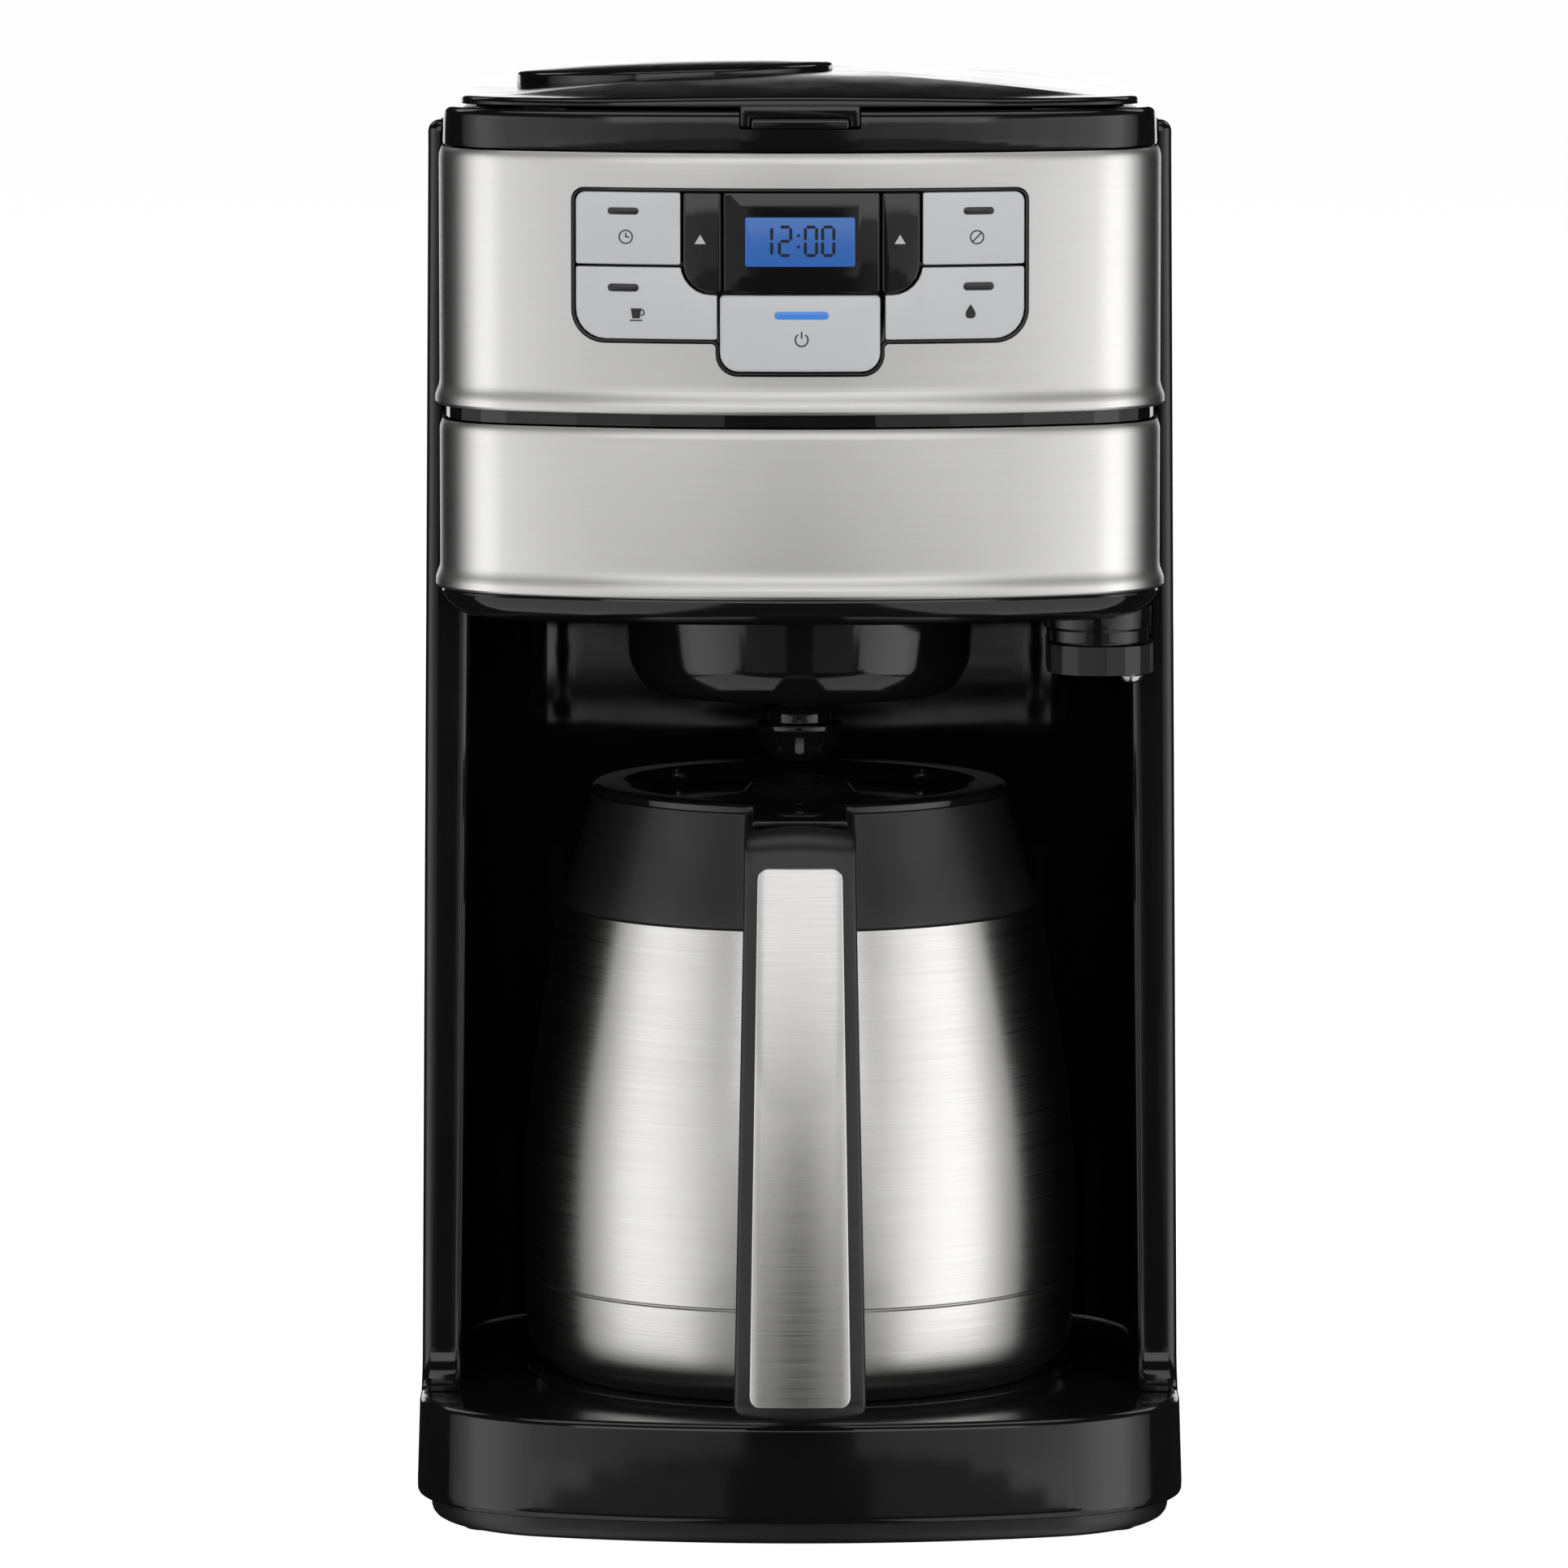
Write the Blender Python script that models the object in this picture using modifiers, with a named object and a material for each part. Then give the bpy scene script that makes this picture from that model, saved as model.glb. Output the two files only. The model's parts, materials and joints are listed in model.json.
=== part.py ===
"""Grind-and-brew drip coffee maker with a thermal carafe.

Frame: +X right, +Y back, +Z up, in metres.  The front of the machine faces -Y.
The origin is on the table, under the middle of the whole object's box.
"""

import math
from collections import namedtuple

import bmesh
import bpy
from mathutils import Matrix, Vector

MM = 0.001
GAP = 0.3 * MM                      # air between neighbouring pieces

# A front that bows forward: a wide arc in the middle and a tighter arc at each corner.
Bow = namedtuple("Bow", "half_w front_y radius corner_r")

# Driving dimensions
BASE = Bow(105 * MM, -110 * MM, 260 * MM, 45 * MM)
HEAD = Bow(97.6 * MM, -106 * MM, 220 * MM, 28 * MM)
BACK_Y = 134 * MM                   # back of the rear housing and of the base
BACK_R = 26 * MM                    # radius of the rear corners in plan
AXIS_Y = -8 * MM                    # carafe, filter holder and valve share one upright axis
FOOT_H = 3 * MM
SKIRT_TOP = 9.4 * MM
BASE_TOP = 36.7 * MM
COLUMN_Y = -46 * MM                 # front face of the two columns
COLUMN_LOW_W = 104 * MM             # outer half width at the foot of the columns
COLUMN_TOP_W = 101.2 * MM
COLUMN_TOP = 386.6 * MM
BAY_LOW_W = 93.3 * MM               # half width of the bay for the carafe, at the foot
BAY_TOP_W = 89.5 * MM
CEILING = 309.6 * MM                # underside of the head, above the filter holder
DOOR_LOW = 252.3 * MM
DOOR_BAND_LOW = 260 * MM
DOOR_TOP = 305.8 * MM
BAND_TOP = 379.6 * MM
RING_TOP = 391 * MM
LID_LOW = 391.9 * MM
LID_CREST = 396.9 * MM
TOP_FALL = 0.02                     # the top falls this much for each unit towards the back
TAPER = 0.022                       # share of its width that the top loses between columns and back
SKIN = 0.9 * MM                     # stainless sheet
WALL = 2.6 * MM                     # moulded plastic
DOOR_HINGE = (81 * MM, -60 * MM)    # upright axis at the right of the door
LID_HINGE = (100 * MM, 386.6 * MM)  # y and z of the axis across the back of the lid
GRINDER = (-38 * MM, 4 * MM)        # upright axis of the grinder
LID_W = 91.5 * MM                   # half width of the lid
LID_FRONT = -102.6 * MM
LID_DISC = (-34.6 * MM, 20 * MM)    # middle of the raised disc on the lid
HINGE_LUG_LOW = 236 * MM            # plate under the door's hinge
HINGE_LUG_TOP = 243.8 * MM
HINGE_SCREW = (90 * MM, -66 * MM)
HOLDER_HOLE_R = 51 * MM
BAY_BACK_R = 350 * MM               # the bay's back wall is a wide arc with a rounded corner each side
BAY_CORNER_R = 38 * MM
HEATER_R = 45 * MM
HEATER_Z = 22 * MM
COLD_TUBE = (60 * MM, 108 * MM)
HOT_TUBE = (-64 * MM, 87.4 * MM)
GLAND_X = -60 * MM                  # where the cord leaves
GLAND_Z = 22 * MM
PANEL_RECESS = 4.6 * MM             # depth of the tray that the buttons sit in
BUTTON_DEPTH = 3 * MM
STEPS = 30                          # facets round the large turned pieces
SMALL_STEPS = 16

COLLECTION = "coffee_maker"
CUTTERS = "cutters"


# ---------------------------------------------------------------- helpers

def clear_scene():
    for obj in list(bpy.data.objects):
        bpy.data.objects.remove(obj, do_unlink=True)


def new_collection(name):
    group = bpy.data.collections.new(name)
    bpy.context.scene.collection.children.link(group)
    return group


def material(name, colour, roughness, metallic=0.0):
    mat = bpy.data.materials.new(name)
    mat.use_nodes = True
    shader = mat.node_tree.nodes["Principled BSDF"]
    shader.inputs["Base Color"].default_value = (*colour, 1)
    shader.inputs["Roughness"].default_value = roughness
    shader.inputs["Metallic"].default_value = metallic
    return mat


def add_object(name, mesh, group):
    obj = bpy.data.objects.new(name, mesh)
    bpy.data.collections[group].objects.link(obj)
    return obj


def from_bmesh(name, bm, group):
    mesh = bpy.data.meshes.new(name)
    bm.to_mesh(mesh)
    bm.free()
    return add_object(name, mesh, group)


def finish(obj, mat, smooth=30):
    """Give a node its material and shade its round faces smooth."""
    obj.data.materials.clear()
    obj.data.materials.append(mat)
    obj.data.shade_smooth()
    obj.data.set_sharp_from_angle(angle=math.radians(smooth))
    return obj


def arc(cx, cy, radius, start, end, count):
    """Points on a circle from start to end degrees, both ends included."""
    turn = (end - start) / count
    angles = [math.radians(start + turn * i) for i in range(count + 1)]
    return [(cx + radius * math.cos(a), cy + radius * math.sin(a)) for a in angles]


def grown(bow, grow):
    """The same bowed front, moved outwards by grow."""
    return Bow(bow.half_w + grow, bow.front_y - grow, bow.radius + grow, bow.corner_r + grow)


def bow_front(bow, side_y, bow_count=8, corner_count=4):
    """Open outline in plan, from the left side round the front to the right side."""
    corner_x = bow.half_w - bow.corner_r
    reach = bow.radius - bow.corner_r
    phi = math.degrees(math.asin(corner_x / reach))
    middle_y = bow.front_y + bow.radius
    corner_y = middle_y - reach * math.cos(math.radians(phi))
    left = arc(-corner_x, corner_y, bow.corner_r, 180, 270 - phi, corner_count)
    middle = arc(0, middle_y, bow.radius, 270 - phi, 270 + phi, bow_count)
    right = arc(corner_x, corner_y, bow.corner_r, 270 + phi, 360, corner_count)
    return [(-bow.half_w, side_y)] + left + middle[1:] + right[1:] + [(bow.half_w, side_y)]


def bow_outline(bow, back_y, back_r):
    """Closed outline in plan: bowed front, straight sides, rounded back corners."""
    front = bow_front(bow, back_y - back_r)
    right = arc(bow.half_w - back_r, back_y - back_r, back_r, 0, 90, 4)
    left = arc(back_r - bow.half_w, back_y - back_r, back_r, 90, 180, 4)
    return front + right[1:] + left[:-1]


def fall(y):
    """How far the machine's top has dropped at depth y."""
    return TOP_FALL * (y - HEAD.front_y)


def tapered(outline):
    """Narrow an outline towards the back of the machine."""
    depth = BACK_Y - COLUMN_Y
    return [(x * (1 - TAPER * max(y - COLUMN_Y, 0) / depth), y) for x, y in outline]


def lower_top(obj, above):
    """Let everything above a height fall towards the back."""
    for v in obj.data.vertices:
        if v.co.z > above:
            v.co.z -= fall(v.co.y)
    return obj


def rounded_box(x0, y0, x1, y1, radii, count=4):
    """Closed outline; radii are for the corners (x0,y0), (x1,y0), (x1,y1), (x0,y1)."""
    corners = [
        (x0 + radii[0], y0 + radii[0], radii[0], 180),
        (x1 - radii[1], y0 + radii[1], radii[1], 270),
        (x1 - radii[2], y1 - radii[2], radii[2], 0),
        (x0 + radii[3], y1 - radii[3], radii[3], 90),
    ]
    points = []
    for cx, cy, radius, start in corners:
        if radius:
            points += arc(cx, cy, radius, start, start + 90, count)
        else:
            points.append((cx, cy))
    return points


def plate(name, outline, low, high, group=COLLECTION):
    """A flat outline in plan, made solid from height low to height high."""
    curve = bpy.data.curves.new(name, "CURVE")
    curve.dimensions = "2D"
    curve.fill_mode = "BOTH"
    curve.extrude = (high - low) / 2
    spline = curve.splines.new("POLY")
    spline.points.add(len(outline) - 1)
    for point, (x, y) in zip(spline.points, outline):
        point.co = (x, y, 0, 1)
    spline.use_cyclic_u = True
    guide = bpy.data.objects.new(name + "_outline", curve)
    bpy.data.collections[group].objects.link(guide)
    guide.location.z = (low + high) / 2
    return as_mesh(name, guide, group)


def as_mesh(name, guide, group):
    """Turn a curve object into a welded mesh object and remove the curve."""
    bpy.context.view_layer.update()
    graph = bpy.context.evaluated_depsgraph_get()
    mesh = bpy.data.meshes.new_from_object(guide.evaluated_get(graph))
    mesh.transform(guide.matrix_world)
    bpy.data.objects.remove(guide, do_unlink=True)
    bm = bmesh.new()
    bm.from_mesh(mesh)
    bmesh.ops.remove_doubles(bm, verts=bm.verts, dist=0.001 * MM)
    bmesh.ops.recalc_face_normals(bm, faces=bm.faces)
    bpy.data.meshes.remove(mesh)
    return from_bmesh(name, bm, group)


def loft(name, sections, closed=True, group=COLLECTION):
    """Join plan sections (height, outline) from low to high; a closed one gets flat ends.
    A height is a number, or a function of x and y."""
    bm = bmesh.new()
    rings = []
    for height, outline in sections:
        heights = [height(x, y) if callable(height) else height for x, y in outline]
        rings.append([bm.verts.new((x, y, z)) for (x, y), z in zip(outline, heights)])
    count = len(rings[0])
    last = count if closed else count - 1
    for low, high in zip(rings, rings[1:]):
        for i in range(last):
            j = (i + 1) % count
            bm.faces.new((low[i], low[j], high[j], high[i]))
    if closed:
        bm.faces.new(list(reversed(rings[0])))
        bm.faces.new(rings[-1])
    return from_bmesh(name, bm, group)


def thicken(obj, thickness):
    """Make a sheet solid, inwards from the face it already has."""
    solid = obj.modifiers.new("thickness", "SOLIDIFY")
    solid.thickness = thickness
    solid.offset = -1
    return obj


def turned(name, profile, centre=(0, AXIS_Y), steps=STEPS, ring=False, group=COLLECTION):
    """A turned piece from a profile of (radius, height), outer side first, top to bottom."""
    bm = bmesh.new()
    verts = [bm.verts.new((r, 0, z)) for r, z in profile]
    pairs = list(zip(verts, verts[1:]))
    if ring:
        pairs.append((verts[-1], verts[0]))
    for pair in pairs:
        bm.edges.new(pair)
    obj = from_bmesh(name, bm, group)
    obj.location = (centre[0], centre[1], 0)
    screw = obj.modifiers.new("turn", "SCREW")
    screw.steps = steps
    screw.render_steps = steps
    screw.use_merge_vertices = True
    screw.merge_threshold = 0.00001
    return obj


def disc(name, centre, radius, low, high, steps=SMALL_STEPS, group=COLLECTION):
    """A plain upright cylinder."""
    bm = bmesh.new()
    spot = Matrix.Translation((centre[0], centre[1], (low + high) / 2))
    bmesh.ops.create_cone(
        bm, cap_ends=True, segments=steps, radius1=radius, radius2=radius,
        depth=high - low, matrix=spot)
    return from_bmesh(name, bm, group)


def rod(name, start, end, radius, steps=16, group=COLLECTION):
    """A cylinder between two points."""
    bm = bmesh.new()
    start, end = Vector(start), Vector(end)
    along = end - start
    spot = Matrix.Translation((start + end) / 2) @ along.to_track_quat("Z", "Y").to_matrix().to_4x4()
    bmesh.ops.create_cone(
        bm, cap_ends=True, segments=steps, radius1=radius, radius2=radius,
        depth=along.length, matrix=spot)
    return from_bmesh(name, bm, group)


def block(name, low, high, group=COLLECTION):
    """A box between two corners."""
    bm = bmesh.new()
    low, high = Vector(low), Vector(high)
    size = high - low
    spot = Matrix.Translation((low + high) / 2) @ Matrix.Diagonal((*size, 1))
    bmesh.ops.create_cube(bm, size=1, matrix=spot)
    return from_bmesh(name, bm, group)


def pipe(name, points, radius, group=COLLECTION):
    """A round tube that follows points, as a welded mesh."""
    curve = bpy.data.curves.new(name, "CURVE")
    curve.dimensions = "3D"
    curve.bevel_depth = radius
    curve.bevel_resolution = 2
    curve.use_fill_caps = True
    spline = curve.splines.new("POLY")
    spline.points.add(len(points) - 1)
    for point, spot in zip(spline.points, points):
        point.co = (*spot, 1)
    guide = bpy.data.objects.new(name + "_route", curve)
    bpy.data.collections[group].objects.link(guide)
    return as_mesh(name, guide, group)


def boolean(obj, other, operation):
    """Cut, join or intersect obj with another piece, which becomes a hidden cutter."""
    other.hide_render = True
    other.display_type = "WIRE"
    step = obj.modifiers.new(operation.lower(), "BOOLEAN")
    step.operation = operation
    step.object = other
    return obj


def cut(obj, other):
    return boolean(obj, other, "DIFFERENCE")


def join(obj, other):
    return boolean(obj, other, "UNION")


def soften(obj, width, segments=2, angle=40):
    bevel = obj.modifiers.new("soft edge", "BEVEL")
    bevel.width = width
    bevel.segments = segments
    bevel.limit_method = "ANGLE"
    bevel.angle_limit = math.radians(angle)
    return obj


# ---------------------------------------------------------------- base

def make_base(mats):
    top = BASE_TOP
    sections = [
        (SKIRT_TOP, bow_outline(grown(BASE, -0.8 * MM), BACK_Y, BACK_R)),
        (SKIRT_TOP + 1 * MM, bow_outline(BASE, BACK_Y, BACK_R)),
        (top - 3 * MM, bow_outline(grown(BASE, -0.6 * MM), BACK_Y, BACK_R)),
        (top - 0.9 * MM, bow_outline(grown(BASE, -1.6 * MM), BACK_Y, BACK_R)),
        (top, bow_outline(grown(BASE, -4 * MM), BACK_Y, BACK_R)),
    ]
    base = loft("base_housing", sections)
    inside = bow_outline(grown(BASE, -WALL - 2 * MM), BACK_Y - WALL, BACK_R - WALL)
    cut(base, plate("base_hollow", inside, 0, top - WALL, CUTTERS))
    recess = 76.8 * MM
    cut(base, disc("plate_recess", (0, AXIS_Y), recess, top - 1 * MM, top + 5 * MM, STEPS, CUTTERS))
    for name, spot, radius in (("cold_hole", COLD_TUBE, 6 * MM), ("hot_hole", HOT_TUBE, 6 * MM)):
        cut(base, disc(name + "_base", spot, radius, 20 * MM, 60 * MM, 16, CUTTERS))
    gland_hole = rod("gland_hole", (GLAND_X, 120 * MM, GLAND_Z), (GLAND_X, 150 * MM, GLAND_Z),
                     7 * MM, 16, CUTTERS)
    cut(base, gland_hole)
    finish(base, mats["black gloss"])

    skirt = grown(BASE, -3.8 * MM)
    cover = loft("base_cover", [
        (FOOT_H, bow_outline(grown(skirt, -2 * MM), BACK_Y - 4 * MM, BACK_R - 4 * MM)),
        (FOOT_H + 2 * MM, bow_outline(skirt, BACK_Y - 2 * MM, BACK_R - 2 * MM)),
        (SKIRT_TOP - GAP, bow_outline(skirt, BACK_Y - 2 * MM, BACK_R - 2 * MM)),
    ])
    tray = bow_outline(grown(skirt, -WALL - 1 * MM), BACK_Y - 6 * MM, BACK_R - 6 * MM)
    cut(cover, plate("cover_hollow", tray, FOOT_H + WALL, 30 * MM, CUTTERS))
    finish(cover, mats["black satin"])

    foot_spots = [(x * MM, y * MM) for x in (-86, 86) for y in (-62, 112)]
    for number, spot in enumerate(foot_spots, start=1):
        foot = disc(f"foot_{number}", spot, 6 * MM, 0, FOOT_H - GAP, 20)
        finish(foot, mats["rubber"])

    warm = disc("carafe_plate", (0, AXIS_Y), recess - 0.5 * MM, top - 1 * MM + GAP, top + 0.2 * MM, STEPS)
    finish(warm, mats["black satin"])

    ring = arc(0, AXIS_Y, HEATER_R, 120, 420, 20)
    heater = pipe("heater", [(x, y, HEATER_Z) for x, y in ring], 6 * MM)
    finish(heater, mats["aluminium"])

    gland = turned("cord_outlet", [
        (0, 2 * MM), (6 * MM, 2 * MM), (6.6 * MM, 0), (6.6 * MM, -3 * MM), (0, -3 * MM)],
        centre=(0, 0), steps=16)
    gland.location = (GLAND_X, BACK_Y, GLAND_Z)
    gland.rotation_euler.x = math.radians(-90)
    finish(gland, mats["black satin"])


# ---------------------------------------------------------------- rear housing

def column_outline(half_w, front_y, back_y, front_r, back_r):
    return rounded_box(-half_w, front_y, half_w, back_y, (front_r, front_r, back_r, back_r), 5)


def bay_outline(half_w, front_y):
    """The bay in plan: straight sides from the front, and a gently bowed back behind the carafe."""
    grow = half_w - BAY_LOW_W
    bow = Bow(half_w, -AXIS_Y - half_w, BAY_BACK_R + grow, BAY_CORNER_R + grow)
    return [(x, -y) for x, y in reversed(bow_front(bow, -front_y))]


def bay_cutter(name, grow, low, high):
    """The bay tapers from its foot to the ceiling; grow makes it wider all round."""
    lean = (BAY_TOP_W - BAY_LOW_W) / (CEILING - BASE_TOP)
    ends = [(z, BAY_LOW_W + lean * (z - BASE_TOP) + grow) for z in (low, high)]
    return loft(name, [(z, bay_outline(w, -80 * MM)) for z, w in ends], group=CUTTERS)


def make_rear(mats):
    low = BASE_TOP + GAP
    foot_top = low + 10.4 * MM
    lean = (COLUMN_TOP_W - COLUMN_LOW_W) / (COLUMN_TOP - foot_top)
    fillet = 11 * MM

    def half_width(z):
        return COLUMN_LOW_W + lean * (z - foot_top)

    sections = []
    for step in range(5):
        turn = math.radians(90 * step / 4)
        z = low + (foot_top - low) * (1 - math.cos(turn))
        front = COLUMN_Y - fillet * (1 - math.sin(turn))
        sections.append((z, column_outline(half_width(foot_top), front, BACK_Y, 3 * MM, BACK_R)))
    top_w = half_width(COLUMN_TOP - 5 * MM)
    for below, inset in ((5, 0), (2.4, 0.3), (1.2, 1.3), (0.4, 2.2), (0, 2.9)):
        rounded = column_outline(top_w - inset * MM, COLUMN_Y + inset * 0.5 * MM,
                                 BACK_Y - inset * 0.5 * MM, 3 * MM, BACK_R)
        sections.append((COLUMN_TOP - below * MM, rounded))
    sections = [(z, tapered(outline)) for z, outline in sections]
    rear = lower_top(loft("rear_housing", sections), COLUMN_TOP - 6 * MM)
    cut(rear, bay_cutter("bay", 0, low - 5 * MM, CEILING))

    hollow_w = COLUMN_TOP_W - 3.4 * MM
    hollow = plate("rear_hollow", tapered(column_outline(
        hollow_w, COLUMN_Y + 3.4 * MM, BACK_Y - 3 * MM, 2 * MM, BACK_R - 3 * MM)),
        low + WALL, COLUMN_TOP + 20 * MM, CUTTERS)
    cut(hollow, bay_cutter("bay_wall", 3 * MM, low - 5 * MM, DOOR_TOP))
    pocket_low, pocket_high = HINGE_LUG_LOW - GAP, DOOR_TOP + 0.6 * MM
    pocket_side = 96.5 * MM
    keep = block("pocket_wall", (60 * MM, -60 * MM, pocket_low - 3 * MM),
                 (99 * MM, -33 * MM, DOOR_TOP + 0.1 * MM), CUTTERS)
    cut(hollow, keep)
    cut(rear, hollow)
    cut(rear, block("head_opening", (-97 * MM, -80 * MM, DOOR_TOP + 0.1 * MM),
                    (97 * MM, COLUMN_Y + 5 * MM, COLUMN_TOP + 20 * MM), CUTTERS))
    cut(rear, block("hinge_pocket", (66 * MM, -80 * MM, pocket_low),
                    (pocket_side, -36 * MM, pocket_high), CUTTERS))
    for name, spot in (("cold_hole_rear", COLD_TUBE), ("hot_hole_rear", HOT_TUBE)):
        cut(rear, disc(name, spot, 6 * MM, 20 * MM, 60 * MM, 16, CUTTERS))
    finish(rear, mats["black gloss"])

    lug = plate("hinge_bracket", rounded_box(
        67.4 * MM, -72 * MM, pocket_side - GAP, -36.4 * MM,
        (13 * MM, 13 * MM, 1 * MM, 1 * MM)), HINGE_LUG_LOW, HINGE_LUG_TOP)
    cut(lug, disc("lug_bore", DOOR_HINGE, 3.3 * MM, 200 * MM, 260 * MM, 16, CUTTERS))
    cut(lug, disc("screw_bore", HINGE_SCREW, 1.8 * MM, 200 * MM, 260 * MM, 12, CUTTERS))
    finish(lug, mats["black satin"])

    screw = turned("hinge_screw", [
        (0, HINGE_LUG_TOP - 0.5 * MM), (1.5 * MM, HINGE_LUG_TOP - 0.5 * MM),
        (1.5 * MM, HINGE_LUG_LOW - GAP), (3.4 * MM, HINGE_LUG_LOW - GAP),
        (2.6 * MM, HINGE_LUG_LOW - 2.4 * MM), (0, HINGE_LUG_LOW - 2.8 * MM)],
        centre=HINGE_SCREW, steps=16)
    finish(screw, mats["steel"])
    pin = rod("hinge_pin", (*DOOR_HINGE, HINGE_LUG_LOW + 0.2 * MM), (*DOOR_HINGE, DOOR_LOW - 0.6 * MM), 3 * MM)
    finish(pin, mats["steel"])

    tank_w = 84 * MM
    tank = block("water_tank", (-tank_w, 92 * MM, 150 * MM), (tank_w, 126 * MM, BAND_TOP - GAP))
    join(tank, block("tank_upper", (-tank_w, 56 * MM, 316 * MM), (tank_w, 126 * MM, BAND_TOP - GAP), CUTTERS))
    water = block("tank_water", (WALL - tank_w, 92 * MM + WALL, 150 * MM + WALL),
                  (tank_w - WALL, 126 * MM - WALL, 400 * MM), CUTTERS)
    cut(tank, water)
    cut(tank, block("tank_water_upper", (WALL - tank_w, 56 * MM + WALL, 316 * MM + WALL),
                    (tank_w - WALL, 126 * MM - WALL, 400 * MM), CUTTERS))
    finish(tank, mats["tank plastic"])

    tube_low = HEATER_Z + 7 * MM
    x, y = COLD_TUBE
    cold = pipe("cold_water_tube", [(x, y, tube_low), (x, y, 149.6 * MM)], 4 * MM)
    finish(cold, mats["silicone"])
    x, y = HOT_TUBE
    hot = pipe("hot_water_tube", [(x, y, tube_low), (x, y, DOOR_TOP)], 4 * MM)
    finish(hot, mats["silicone"])


# ---------------------------------------------------------------- head

def band_sections(bow, low, high, side_y):
    """A stainless band: rolled out round its lower edge and turned in a little at its top."""
    return [
        (low, bow_front(grown(bow, 0.4 * MM), side_y)),
        (low + 0.8 * MM, bow_front(grown(bow, 1.2 * MM), side_y)),
        (low + 2.6 * MM, bow_front(grown(bow, 1.2 * MM), side_y)),
        (low + 6 * MM, bow_front(bow, side_y)),
        (high - 1.6 * MM, bow_front(bow, side_y)),
        (high, bow_front(grown(bow, -0.5 * MM), side_y)),
    ]


def upright(obj):
    """Stand a plan outline up so that its second coordinate is height."""
    obj.data.transform(Matrix.Rotation(math.radians(90), 4, "X"))
    return obj


def follow_bow(obj, spacing=11 * MM):
    """Bend an upright flat piece round the head's bowed front."""
    bm = bmesh.new()
    bm.from_mesh(obj.data)
    reach = max(abs(v.co.x) for v in bm.verts)
    lines = [spacing * i for i in range(int(-reach / spacing), int(reach / spacing) + 1)]
    for x in lines:
        geometry = list(bm.verts) + list(bm.edges) + list(bm.faces)
        bmesh.ops.bisect_plane(bm, geom=geometry, plane_co=(x, 0, 0), plane_no=(1, 0, 0))
    for v in bm.verts:
        v.co.y += HEAD.front_y + HEAD.radius - math.sqrt(HEAD.radius ** 2 - v.co.x ** 2)
    bm.to_mesh(obj.data)
    bm.free()
    return obj


def front_plate(name, outline, proud, depth, group=COLLECTION):
    """A plate on the head's front; its face stands proud of the band by the given amount."""
    return follow_bow(upright(plate(name, outline, proud - depth, proud, group)))


def panel_outline(grow):
    """Outline of the control panel (x, z): a rounded box and the brew button's lobe below it."""
    left, low, right, high = (-61.3 * MM - grow, 328.7 * MM - grow, 61.3 * MM + grow, 370.4 * MM + grow)
    lobe_w, lobe_low, lobe_r = 22.6 * MM + grow, 320 * MM - grow, 6 * MM
    low_r, high_r = 9 * MM, 3.5 * MM
    lobe = arc(-lobe_w + lobe_r, lobe_low + lobe_r, lobe_r, 180, 270, 4)
    lobe += arc(lobe_w - lobe_r, lobe_low + lobe_r, lobe_r, 270, 360, 4)
    points = arc(left + low_r, low + low_r, low_r, 180, 270, 4)
    points += [(-lobe_w, low)] + lobe + [(lobe_w, low)]
    points += arc(right - low_r, low + low_r, low_r, 270, 360, 4)
    points += arc(right - high_r, high - high_r, high_r, 0, 90, 3)
    points += arc(left + high_r, high - high_r, high_r, 90, 180, 3)
    return points


# Control panel: left, low, right, high in mm, and the radius of each corner,
# in the order lower left, lower right, upper right, upper left.
BUTTONS = {
    "button_program": ((-60.0, 349.9, -32.0, 369.2), (0.6, 0.6, 0.6, 2.6)),
    "button_small_batch": ((-60.0, 329.9, -22.2, 349.1), (8, 0.6, 0.6, 0.6)),
    "button_hour": ((-31.2, 342.6, -21.2, 369.2), (7.5, 0.6, 0.6, 0.6)),
    "button_minute": ((22.0, 342.6, 32.0, 369.2), (0.6, 7.5, 0.6, 0.6)),
    "button_grind_off": ((32.8, 349.9, 60.0, 369.2), (0.6, 0.6, 2.6, 0.6)),
    "button_clean": ((22.8, 329.9, 60.0, 349.1), (0.6, 8, 0.6, 0.6)),
    "button_brew": ((-21.4, 321.4, 21.4, 341.8), (5, 5, 1.2, 1.2)),
}
DISPLAY = ((-20.4, 342.7, 21.2, 369.2), (0.6, 0.6, 0.6, 0.6))
LCD = ((-14.8, 349.4, 14.8, 362.7), (0.6, 0.6, 0.6, 0.6))


def panel_box(spec, grow=0.0):
    (left, low, right, high), radii = spec
    edges = [value * MM for value in (left, low, right, high)]
    corners = [r * MM + grow for r in radii]
    return rounded_box(edges[0] - grow, edges[1] - grow, edges[2] + grow, edges[3] + grow, corners, 3)


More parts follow.
